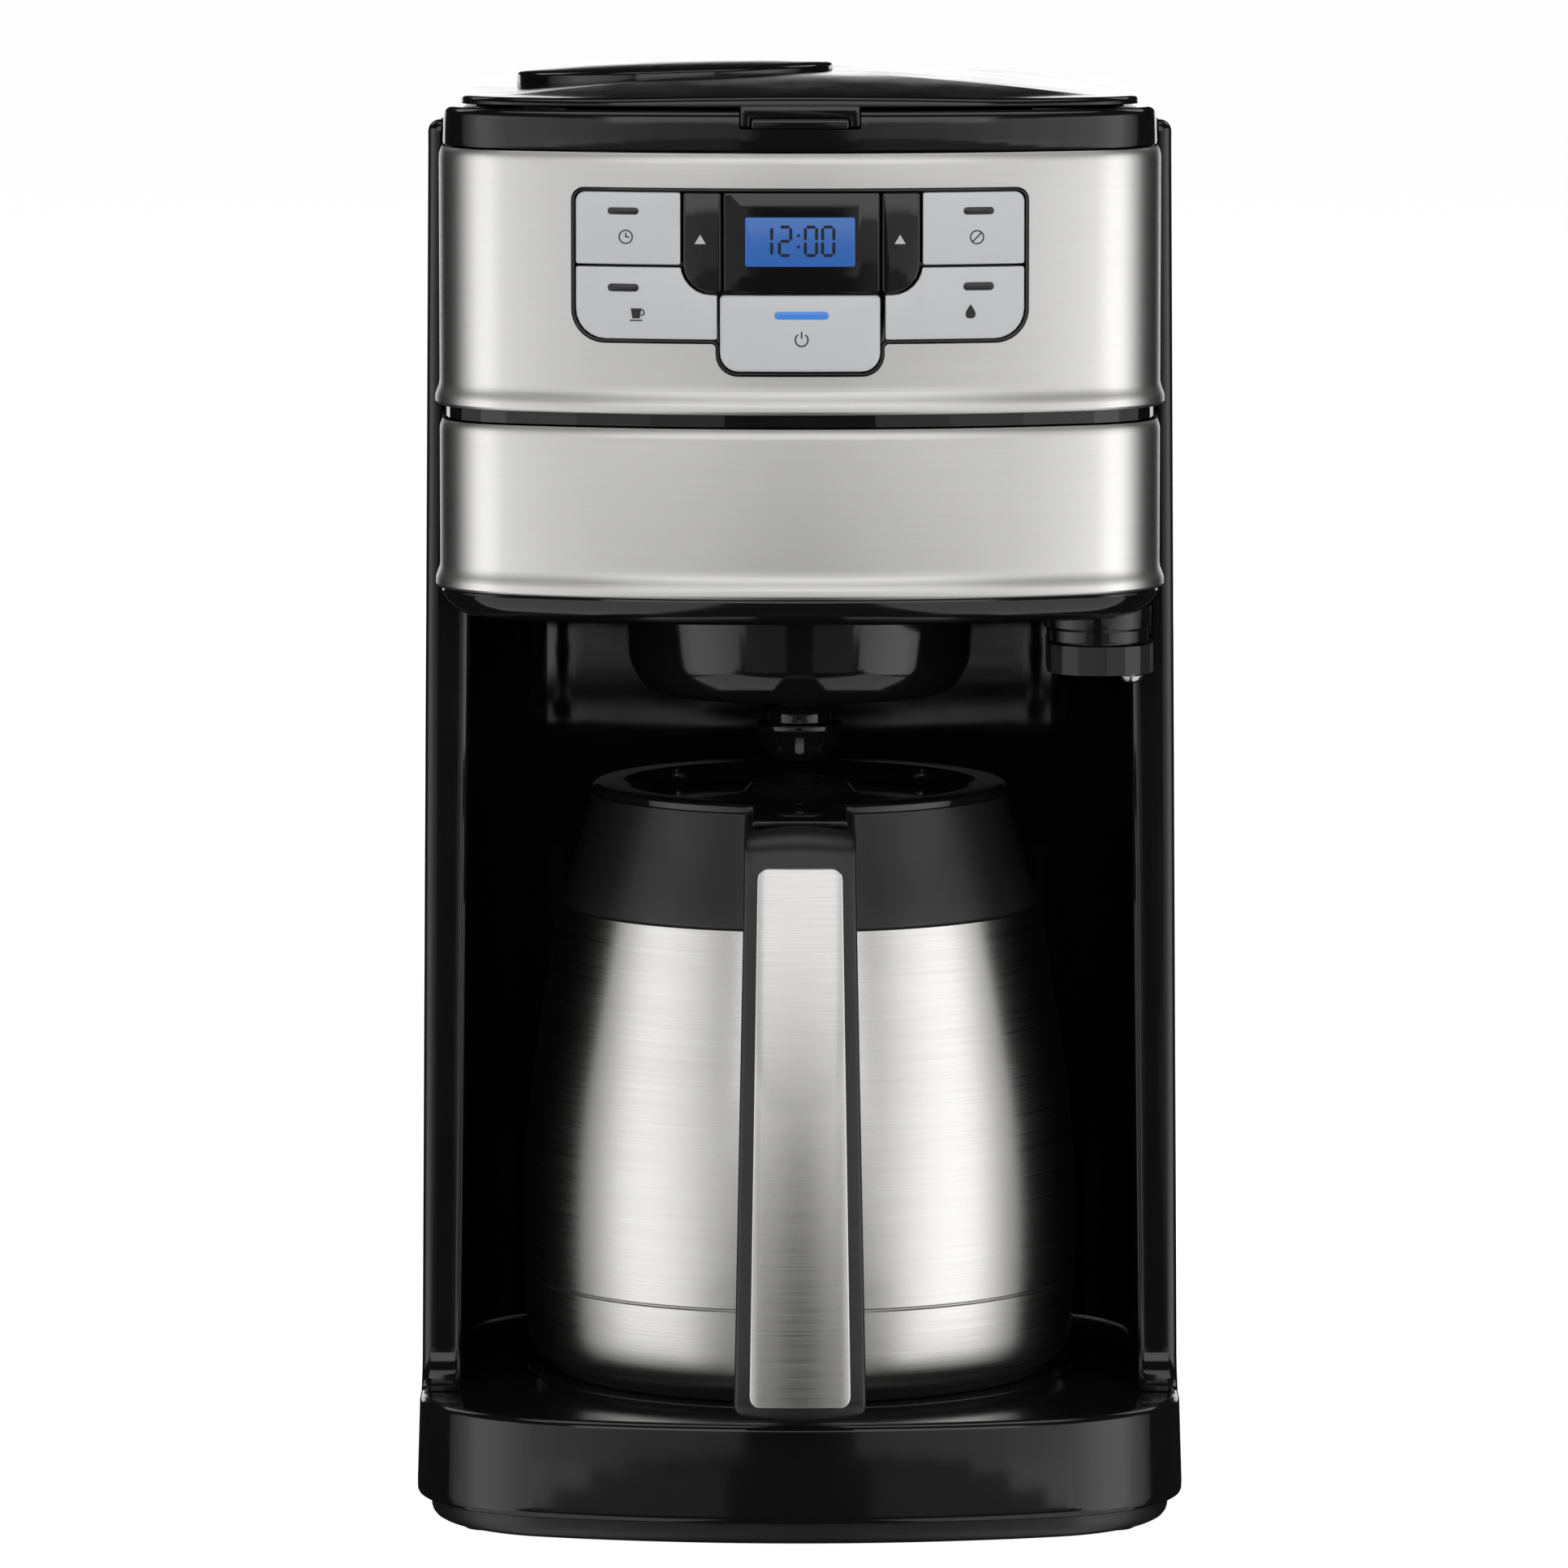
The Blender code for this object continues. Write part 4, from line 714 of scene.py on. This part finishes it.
def build_buttons():
    for name, spec in BUTTONS.items():
        black = name in ("button_hour", "button_minute")
        proud = BREW_PROUD if name == "button_brew" else BUTTON_PROUD
        button = upright_plate(name + "_cap", panel_box(spec), proud, BUTTON_DEPTH + proud)
        if name in ("button_small_batch", "button_clean"):
            inner = "button_hour" if name == "button_small_batch" else "button_minute"
            cut(button, upright_plate("notch", panel_box(BUTTONS[inner], 0.8), 10, 20),
                upright_plate("lobe", panel_box(BUTTONS["button_brew"], 0.6), 10, 20))
        soften(button, 1.1 if name == "button_brew" else 0.45, 4)
        lamp = LAMPS.get(name)
        if lamp:
            cut(button, upright_plate("lamp_seat", pill(lamp), 10, 10.5 - proud))
        follow_bow(button)
        look, slot = (GLOSS, "black_gloss") if black else (SILVER, "silver_paint")
        dress(button, look, name, [name], 28)
        if lamp:
            lit = name == "button_brew"
            window = soften(upright_plate(name + "_lamp", pill(lamp, -0.12), proud - 0.16, 0.3), 0.08, 2)
            dress(follow_bow(window), LIT if lit else UNLIT, name)


def build_display():
    bezel = upright_plate("panel_bezel", panel_outline(-GAP), 0.25, PANEL_RECESS + 2.2)
    cut(bezel, upright_plate("recess", panel_outline(-0.95), 10, PANEL_RECESS + 10.4))
    soften(bezel, 0.22, 3)
    dress(follow_bow(bezel), GLOSS, "machine", ["control_bezel"], 28)

    face = upright_plate("display_face", panel_box(DISPLAY), 0, PANEL_RECESS - GAP)
    soften(face, 0.3, 3)
    cut(face, upright_plate("window", panel_box(SCREEN), 10, 12.2))
    dress(follow_bow(face), GLOSS, "machine", ["display_frame"], 28)
    screen = soften(upright_plate("display_screen", panel_box(SCREEN, -0.1), -0.15, 1.7), 0.12, 2)
    dress(follow_bow(screen), LCD, "machine", ["display_lcd"], 28)
    build_digits()


SEGMENTS = {"0": "abcdef", "1": "bc", "2": "abged"}


def segment(x0, z0, x1, z1, half):
    """A slim lozenge between two points of a digit, level or upright."""
    if abs(x1 - x0) > abs(z1 - z0):
        return [(x0, z0), (x0 + half, z0 - half), (x1 - half, z1 - half), (x1, z1), (x1 - half, z1 + half),
                (x0 + half, z0 + half)]
    return [(x0, z0), (x0 + half, z0 + half), (x1 + half, z1 - half), (x1, z1), (x1 - half, z1 - half),
            (x0 - half, z0 + half)]


def build_digits():
    """A generic clock reading in seven-segment figures."""
    wide, tall, half, gap = 3.0, 7.6, 0.42, 0.14
    low = 352.5
    bars = []
    for text, left in (("1", -10.6), ("2", -5.5), ("0", 1.4), ("0", 6.0)):
        right, middle, high = left + wide, low + tall / 2, low + tall
        places = {
            "a": (left, high, right, high), "g": (left, middle, right, middle), "d": (left, low, right, low),
            "f": (left, middle, left, high), "b": (right, middle, right, high),
            "e": (left, low, left, middle), "c": (right, low, right, middle),
        }
        for letter in SEGMENTS[text]:
            x0, z0, x1, z1 = places[letter]
            if x0 == x1:
                bars.append(segment(x0, z0 + gap, x1, z1 - gap, half))
            else:
                bars.append(segment(x0 + gap, z0, x1 - gap, z1, half))
    for z in (low + tall * 0.3, low + tall * 0.7):
        bars.append(rounded_box(-0.85, z - 0.42, -0.01, z + 0.42, (0.4,) * 4, 4))
    dress(stack("display_digits", bars, -0.08), SEGMENT, "machine")


def stack(name, outlines, proud, thickness=0.12):
    """Several small flat marks on the head's front, made as one piece."""
    bm = bmesh.new()
    for outline in outlines:
        rings = [[bm.verts.new((x, -depth + bow_y(x), z)) for x, z in outline] for depth in
                 (proud - thickness, proud)]
        count = len(outline)
        for i in range(count):
            j = (i + 1) % count
            bm.faces.new((rings[0][i], rings[0][j], rings[1][j], rings[1][i]))
        bm.faces.new(rings[0])
        bm.faces.new(rings[1])
    return make(name, bm)


def line_mark(x0, z0, x1, z1, width):
    along = Vector((x1 - x0, z1 - z0)).normalized() * (width / 2)
    side = Vector((-along.y, along.x))
    ends = [Vector((x0, z0)), Vector((x1, z1))]
    return [tuple(ends[0] - side), tuple(ends[1] - side), tuple(ends[1] + side), tuple(ends[0] + side)]


def ring_mark(cx, cz, radius, width, start=0, end=360, parts=6):
    """A ring, or part of one, as a few curved strips."""
    marks = []
    turn = (end - start) / parts
    for i in range(parts):
        a, b = start + turn * i, start + turn * (i + 1)
        outer = arc(cx, cz, radius + width / 2, a, b, 5)
        inner = arc(cx, cz, radius - width / 2, b, a, 5)
        marks.append(outer + inner)
    return marks


def build_marks():
    """Small generic pictures in place of words: what each button does."""
    w = 0.36
    x, z = -46.6, 357.2
    clock = ring_mark(x, z, 1.75, w) + [line_mark(x, z - 0.1, x, z + 1.1, w),
                                        line_mark(x - 0.1, z, x + 0.9, z, w)]
    x, z = -43.6, 336.9
    cup = [[(x - 1.7, z + 1.2), (x - 1.25, z - 1.5), (x + 0.75, z - 1.5), (x + 1.2, z + 1.2)]]
    cup += ring_mark(x + 1.15, z + 0.1, 0.75, w, -95, 95, 4)
    cup += [line_mark(x - 1.9, z - 2.0, x + 1.4, z - 2.0, w)]
    x, z = 47.3, 357.1
    blades = ring_mark(x, z, 1.75, w) + [line_mark(x - 1.3, z - 1.3, x + 1.3, z + 1.3, w)]
    x, z = 45.6, 337.0
    drop = [eased([(x, z + 2.2), (x + 1.5, z - 0.2, 1.0), (x + 1.1, z - 1.6, 0.9), (x - 1.1, z - 1.6, 0.9),
                   (x - 1.5, z - 0.2, 1.0)], 5, True)]
    x, z = 0.4, 330.0
    power = ring_mark(x, z, 1.7, w * 1.1, -235, 55, 6) + [line_mark(x, z + 0.3, x, z + 2.2, w * 1.1)]
    x, z = -26.7, 356.6
    up = [[(x - 1.5, z - 1.1), (x + 1.5, z - 1.1), (x, z + 1.4)]]
    also_up = [[(px - 2 * x, pz) for px, pz in up[0]]]
    spots = (("button_program", clock, INK), ("button_small_batch", cup, INK),
             ("button_grind_off", blades, INK),
             ("button_clean", drop, INK), ("button_brew", power, INK), ("button_hour", up, PALE_INK),
             ("button_minute", also_up, PALE_INK))
    for body, marks, look in spots:
        proud = BREW_PROUD if body == "button_brew" else BUTTON_PROUD
        dress(stack(body + "_mark", marks, proud + 0.05), look, body)


# ---------------------------------------------------------------- door

def build_door():
    side_y = -54
    band = build_band("door_front_band", DOOR_BAND_LOW, DOOR_TOP, side_y)
    dress(band, STEEL, "door", ["door_band"])

    floor = DOOR_BAND_LOW - GAP
    curve = [(DOOR_LOW, -9.5), (DOOR_LOW + 0.12, -8.2), (DOOR_LOW + 0.5, -6.9), (DOOR_LOW + 1.1, -5.5),
             (DOOR_LOW + 2.0, -4.0), (DOOR_LOW + 3.2, -2.6), (DOOR_LOW + 4.6, -1.5), (DOOR_LOW + 6.0, -0.8),
             (floor - 0.5, -0.45), (floor, -0.6), (floor + 0.05, -1.8), (DOOR_TOP - 0.4, -1.8)]
    body = loft("door_tray", [(z, bow_front(grown(HEAD, grow), side_y)) for z, grow in curve])
    cut(body, plate("hollow", bow_front(grown(HEAD, -4.4), -30), floor, DOOR_TOP + 10))
    rear_floor = lathe("rear_floor", [(0, floor - 2), (58, floor - 2), (58, DOOR_LOW), (0, DOOR_LOW)])
    low = LUG_BOX[1].z + 0.5
    knuckle = lathe("knuckle", eased([(0, DOOR_LOW + 2), (14.6, DOOR_LOW + 2), (14.6, low + 4.2, 0.5),
                                      (13.9, low + 3.8, 0.3), (13.9, low, 0.9), (0, low)]), DOOR_HINGE, 72)
    join(body, rear_floor, knuckle)
    hole_r = 51
    hole = lathe("hole", [(0, floor + 5), (hole_r, floor + 5), (hole_r, DOOR_LOW - 5), (0, DOOR_LOW - 5)])
    socket = lathe("socket", [(0, DOOR_LOW - 0.2), (3.3, DOOR_LOW - 0.2), (3.3, 230), (0, 230)],
                   DOOR_HINGE, 48)
    cut(body, hole, socket)
    dress(body, GLOSS, "door", ["door_body"])

    rim = box("filter_holder")[1].z
    holder = lathe("brew_bowl", eased([
        (58, rim, 0.5), (58, rim - 3, 0.5), (53.6, rim - 4), (49.6, 257), (48.2, 243, 4), (46.9, 232.5, 3),
        (42.6, 225.9, 3), (24, 223.6, 5), (10.5, 222.2, 1), (8.7, 219.8, 1), (8.7, 216.6, 0.3), (5, 216.6),
        (5, 224.4), (41.5, 228.2, 2), (44.2, 232, 2), (45.8, 244), (47.2, 257),
        (51.4, rim - 2), (51.4, rim, 0.3)],
        5, True), ring=True)
    dress(holder, GLOSS, "door", ["filter_holder"])

    cage_box = box("valve_cage")
    top, low = cage_box[1].z, cage_box[0].z
    cage = lathe("drip_valve", eased([
        (12, top, 0.3), (12, top - 1.6, 0.5), (11.5, top - 2.4, 0.3), (10.6, low + 4.8, 1.5),
        (7.2, low + 0.4, 0.8),
        (5, low, 0.2), (5, low + 1.2), (8.6, low + 5.6), (9.6, top - 1.8), (4.9, top - 1.8),
        (4.9, top)], 4, True),
        steps=96, ring=True)
    slots = []
    for number in range(5):
        slot = soften(block("slot", (-14, -1.2, low + 2.2), (14, 1.2, low + 7)), 0.6)
        slot.data.transform(Matrix.Translation(Vector((*AXIS, 0)) * MM) @
                            Matrix.Rotation(math.radians(36 * number + 18), 4, "Z"))
        slots.append(slot)
    cut(cage, *slots)
    dress(cage, GLOSS, "door", ["valve_cage"])

    screw_low, screw_high = box("hinge_screw")
    middle = (screw_low + screw_high) / 2
    head_z, head_r = LUG_BOX[0].z - GAP, (screw_high.x - screw_low.x) / 2
    screw = lathe("lug_screw", eased([
        (0, screw_high.z), (1.5, screw_high.z), (1.5, head_z), (head_r, head_z, 0.3),
        (head_r - 0.7, head_z - 1.6, 0.8),
        (0, screw_low.z)]), (middle.x, middle.y), 48)
    cross = [block("cross", (middle.x - w, middle.y - d, 220),
                   (middle.x + w, middle.y + d, screw_low.z + 0.7))
             for w, d in ((2, 0.35), (0.35, 2))]
    cut(screw, *cross)
    dress(screw, PLAIN_STEEL, "machine", ["hinge_screw"])


# ---------------------------------------------------------------- carafe

def build_carafe():
    line, depth, half = 63.4, 0.4, 0.55
    outer = [(66.2, 166.2), (68.6, 153, 5), (71.2, 137, 7), (73.9, 121, 7), (75.6, 105, 7), (76.5, 89, 7),
             (76.7, 73, 5), (76.4, line + half), (76.35 - depth, line, 0.2), (76.3, line - half),
             (75.7, 48.5, 3),
             (75.0, 44.6, 2), (73.4, 41.9, 1.4), (71.8, 40.6)]
    inner = [(r - 1, z) for r, z, *_ in reversed(outer) if abs(z - line) > 0.01]
    shell = lathe("carafe_body", eased(outer, 6) + inner, ring=True)
    dress(shell, SHELL_STEEL, "carafe", ["carafe_shell"], 24)

    top, seat = box("carafe_bottom")[1].z, box("carafe_bottom")[0].z
    bottom = lathe("carafe_base", eased([(0, top), (60, top), (70.4, 42), (70.4, 40.2, 0.5), (69, seat, 0.4),
                                         (66, seat, 0.4), (65, seat + 0.6), (0, seat + 0.6)]))
    dress(bottom, SATIN, "carafe", ["carafe_bottom"])

    collar = lathe("carafe_neck", eased([
        (57.2, 197.2, 0.4), (61.4, 182.4, 8), (66.1, 167.2, 0.3), (65.7, 166.5), (64.6, 166.5), (64.6, 161),
        (53, 161), (53, 171), (50.6, 171), (50.6, 184), (54.2, 197.2)]), ring=True)
    dress(collar, SATIN, "carafe", ["carafe_collar"])

    lid = lathe("carafe_cap", eased([
        (0, 199.4), (6.2, 199.4, 0.2), (6.8, 201.2, 0.3), (9, 201.3, 0.4), (13.2, 200.2, 0.8),
        (16, 197.0, 0.8),
        (41.5, 195.2, 1.2), (46.4, 198.8, 1.0), (49, 200, 0.5), (56.4, 200, 0.7), (57.4, 199.3, 0.4),
        (57.4, 197.5, 0.2), (53.8, 197.5), (50.2, 184.6), (50.2, 174), (30, 172), (0, 172)], 4))
    scoops = []
    for turn in (38, 142, 218, 322):
        scoop = soften(block("scoop", (20, -5, 196.6), (47.6, 5, 210)), 1.2)
        scoop.data.transform(Matrix.Translation(Vector((*AXIS, 0)) * MM) @
                             Matrix.Rotation(math.radians(turn), 4, "Z"))
        scoops.append(scoop)
    cut(lid, *scoops)
    dress(lid, GLOSS, "carafe_lid", ["carafe_lid"], 28)
    build_handle()


HANDLE_TOP, HANDLE_LOW = (-121, 187), (-135.4, 48)      # y and z on the outer face
HANDLE_W, HANDLE_LOW_W, CROWN = 15, 17.7, 2


def face_y(z):
    """Depth of the handle's straight outer face at height z."""
    part = (z - HANDLE_TOP[1]) / (HANDLE_LOW[1] - HANDLE_TOP[1])
    return HANDLE_TOP[0] + (HANDLE_LOW[0] - HANDLE_TOP[0]) * part


def build_handle():
    corner = 9
    path = [(-62, 199.8, HANDLE_W, 17), (-74, 199.8, HANDLE_W, 16.5), (-84, 199.8, HANDLE_W, 16),
            (-98, 199.8, HANDLE_W, 15.5)]
    for i in range(9):
        turn = math.radians(90 + 72 * i / 8)
        path.append((-110.6 + corner * 1.1 * math.cos(turn), 190.8 + corner * math.sin(turn), HANDLE_W, 15))
    for i in range(13):
        part = i / 12
        z = HANDLE_TOP[1] + (HANDLE_LOW[1] - HANDLE_TOP[1]) * part
        path.append((face_y(z), z, HANDLE_W + (HANDLE_LOW_W - HANDLE_W) * part, 14 - part))
    path += [(-135.1, 45.2, 17.65, 12.2), (-134.2, 43.2, 17.5, 10.6), (-132.6, 41.9, 17.2, 8.6),
             (-130.4, 41.3, 16.9, 6.8)]

    def section(half_w, depth):
        outside = [(half_w * i / 6, CROWN * (i / 6) ** 2) for i in range(-5, 6)]
        right = eased([(half_w * 0.8, CROWN * 0.7), (half_w, CROWN, 1.2), (half_w, CROWN + 3, 2),
                       (half_w - 3, depth, 2.5), (half_w - 7, depth)], 4)[1:]
        left = [(-x, d) for x, d in reversed(right)]
        return outside + right + left

    bm = bmesh.new()
    rings = []
    for i, (y, z, half_w, depth) in enumerate(path):
        before, after = path[max(i - 1, 0)], path[min(i + 1, len(path) - 1)]
        along = Vector((0, after[0] - before[0], after[1] - before[1])).normalized()
        inward = Vector((0, -along.z, along.y))
        rings.append([bm.verts.new(Vector((x, y, z)) + inward * d) for x, d in section(half_w, depth)])
    count = len(rings[0])
    for first, second in zip(rings, rings[1:]):
        for i in range(count):
            j = (i + 1) % count
            bm.faces.new((first[i], first[j], second[j], second[i]))
    bm.faces.new(list(reversed(rings[0])))
    bm.faces.new(rings[-1])
    handle = make("handle_grip", bm)
    seat = lathe("seat", [(0, 205), (58, 205), (58, 196.6), (61.9, 182.3), (66.7, 166), (0, 166)])
    pad_box = box("thumb_pad")
    tray = soften(block("tray", (-13.2, -111, 199.3), (13.2, -70, 206)), 0.4)
    cut(handle, seat, tray)
    dress(handle, SATIN, "carafe", ["carafe_handle"], 30)

    low, high = box("handle_inlay")
    outline = eased([(-13.6, low.z + 0.2, 3.4), (13.6, low.z + 0.2, 3.4), (11.4, high.z - 0.3, 3.2),
                     (-11.4, high.z - 0.3, 3.2)], 6, True)
    inlay = upright_plate("handle_strip", outline, 0.8, 1.0)
    soften(inlay, 0.35, 3)
    bm = bmesh.new()
    bm.from_mesh(inlay.data)
    for i in range(-6, 7):
        geometry = list(bm.verts) + list(bm.edges) + list(bm.faces)
        bmesh.ops.bisect_plane(bm, geom=geometry, plane_co=((i + 0.4) * 2 * MM, 0, 0), plane_no=(1, 0, 0))
    for v in bm.verts:
        across = v.co.x / MM / 13
        v.co.y += (face_y(v.co.z / MM) + CROWN * 0.62 * across ** 2) * MM
    bm.to_mesh(inlay.data)
    bm.free()
    dress(inlay, SHELL_STEEL, "carafe", ["handle_inlay"], 28)

    pad = soften(block("thumb_rest", (-12.7, -110.4, 199.4), (12.7, -72, pad_box[1].z - 0.2)), 0.5, 4)
    dress(pad, GLOSS, "carafe", ["thumb_pad"])


# ---------------------------------------------------------------- stage

# The white screen round the object, by degrees round from the camera: its radiance, and the heights
# of its lower and upper edges in metres.
WHITE_SCREEN = [(7, 0.4, -0.2, 0.5), (22, 0.57, -0.26, 0.5), (36, 0.95, -0.6, 1.2), (50, 1.4, -1.4, 1.6),
                (64, 1.7, -1.6, 1.6), (76, 1.7, -1.6, 1.6), (88, 0.9, -1.6, 1.6), (104, 0.2, -1.6, 1.6)]


def screen_at(turn):
    """Radiance, lower edge and upper edge of the white screen, turn degrees round from the camera."""
    for before, after in zip(WHITE_SCREEN, WHITE_SCREEN[1:]):
        if before[0] <= turn <= after[0]:
            part = (turn - before[0]) / (after[0] - before[0])
            return [a + (b - a) * part for a, b in zip(before[1:], after[1:])]


def build_stage():
    size = 9
    bm = bmesh.new()
    bmesh.ops.create_grid(bm, x_segments=1, y_segments=1, size=size / MM)
    floor = make("floor", bm)
    mat, nodes, links, shader = new_material("pale_floor")
    shader.inputs["Base Color"].default_value = (0.86, 0.86, 0.86, 1)
    shader.inputs["Roughness"].default_value = 0.9
    shader.inputs["Specular IOR Level"].default_value = 0.1
    shader.inputs["Emission Color"].default_value = (1, 1, 1, 1)
    path = nodes.new("ShaderNodeLightPath")
    lift = nodes.new("ShaderNodeMath")
    lift.operation = "MULTIPLY"
    lift.inputs[1].default_value = 0.97
    links.new(path.outputs["Is Camera Ray"], lift.inputs[0])
    links.new(lift.outputs["Value"], shader.inputs["Emission Strength"])
    floor.data.materials.append(mat)
    floor.visible_glossy = False

    world = bpy.data.worlds.new("studio")
    bpy.context.scene.world = world
    world.use_nodes = True
    nodes, links = world.node_tree.nodes, world.node_tree.links
    background = nodes["Background"]
    background.inputs["Color"].default_value = (1, 1, 1, 1)
    path = nodes.new("ShaderNodeLightPath")
    level = nodes.new("ShaderNodeMapRange")
    level.inputs["To Min"].default_value = 0.01
    level.inputs["To Max"].default_value = 1
    links.new(path.outputs["Is Camera Ray"], level.inputs["Value"])
    links.new(level.outputs["Result"], background.inputs["Strength"])

    def panel(name, place, aim, size_x, size_y, radiance):
        """A soft box of even brightness; its power follows from its size."""
        lamp = bpy.data.lights.new(name, "AREA")
        lamp.shape = "RECTANGLE"
        lamp.size, lamp.size_y = size_x, size_y
        lamp.energy = radiance * size_x * size_y * math.pi
        obj = bpy.data.objects.new(name, lamp)
        obj.location = place
        direction = Vector(aim) - Vector(place)
        obj.rotation_euler = direction.to_track_quat("-Z", "Y").to_euler()
        obj.visible_camera = False
        bpy.context.scene.collection.objects.link(obj)

    # A curved white screen on each side of the camera, brightest beside the object.
    distance, slices = 3.2, 20
    start, end = WHITE_SCREEN[0][0], WHITE_SCREEN[-1][0]
    slice_w = 2 * distance * math.tan(math.radians((end - start) / slices / 2))
    for side, level in ((-1, 0.92), (1, 1.12)):
        for number in range(slices):
            degrees = start + (end - start) * (number + 0.5) / slices
            radiance, low, high = screen_at(degrees)
            x = side * distance * math.sin(math.radians(degrees))
            y = -distance * math.cos(math.radians(degrees))
            middle_z = (low + high) / 2
            panel(f"screen_{side}_{number}", (x, y, middle_z), (0, 0, middle_z), slice_w, high - low,
                  radiance * level)
        panel(f"low_screen_{side}", (side * 1.3, -2.95, -0.78), (0, 0, -0.78), 1.7, 1.0, 0.2)
        panel(f"back_panel_{side}", (1.6 * side, 2.0, 2.2), (0, 0, 0.25), 1.4, 1.0, 1.0)
        panel(f"table_panel_{side}", (0.9 * side, -0.6, -0.8), (0.9 * side, -0.6, 1), 1.3, 1.5, 0.95)
    panel("high_screen", (0, -distance, 1.4), (0, 0, 0.6), 3.6, 1.7, 1.7)
    panel("top_panel", (0, -0.4, 2.6), (0, -0.2, 0), 2.4, 1.4, 1.4)
    panel("horizon_panel", (0, 2.5, 0.28), (0, 0, 0.28), 2.6, 0.6, 1.4)


def build_camera():
    camera = bpy.data.cameras.new("camera")
    camera.lens = 252.4
    camera.sensor_width = 36
    camera.clip_end = 50
    obj = bpy.data.objects.new("camera", camera)
    obj.location = (-0.0043, -3.036, 0.5537)
    obj.rotation_euler = (math.radians(90 - 6.68), 0, 0)
    bpy.context.scene.collection.objects.link(obj)
    bpy.context.scene.camera = obj
    bpy.context.scene.view_settings.view_transform = "Standard"


def dress_cad_nodes():
    """The CAD nodes that stay get the finish of their slot."""
    looks = {part["node"]: part["material_slot"] for part in frame["record"]["subparts"]}
    for name, node in frame["nodes"].items():
        if node.hide_render:
            continue
        look = SLOT_LOOKS[looks[name]]
        node.data.materials.clear()
        node.data.materials.append(look)
        shade(node, 30)


build_base()
build_rear()
build_head()
build_lid()
build_display()
build_buttons()
build_marks()
build_door()
build_carafe()
dress_cad_nodes()
build_stage()
build_camera()
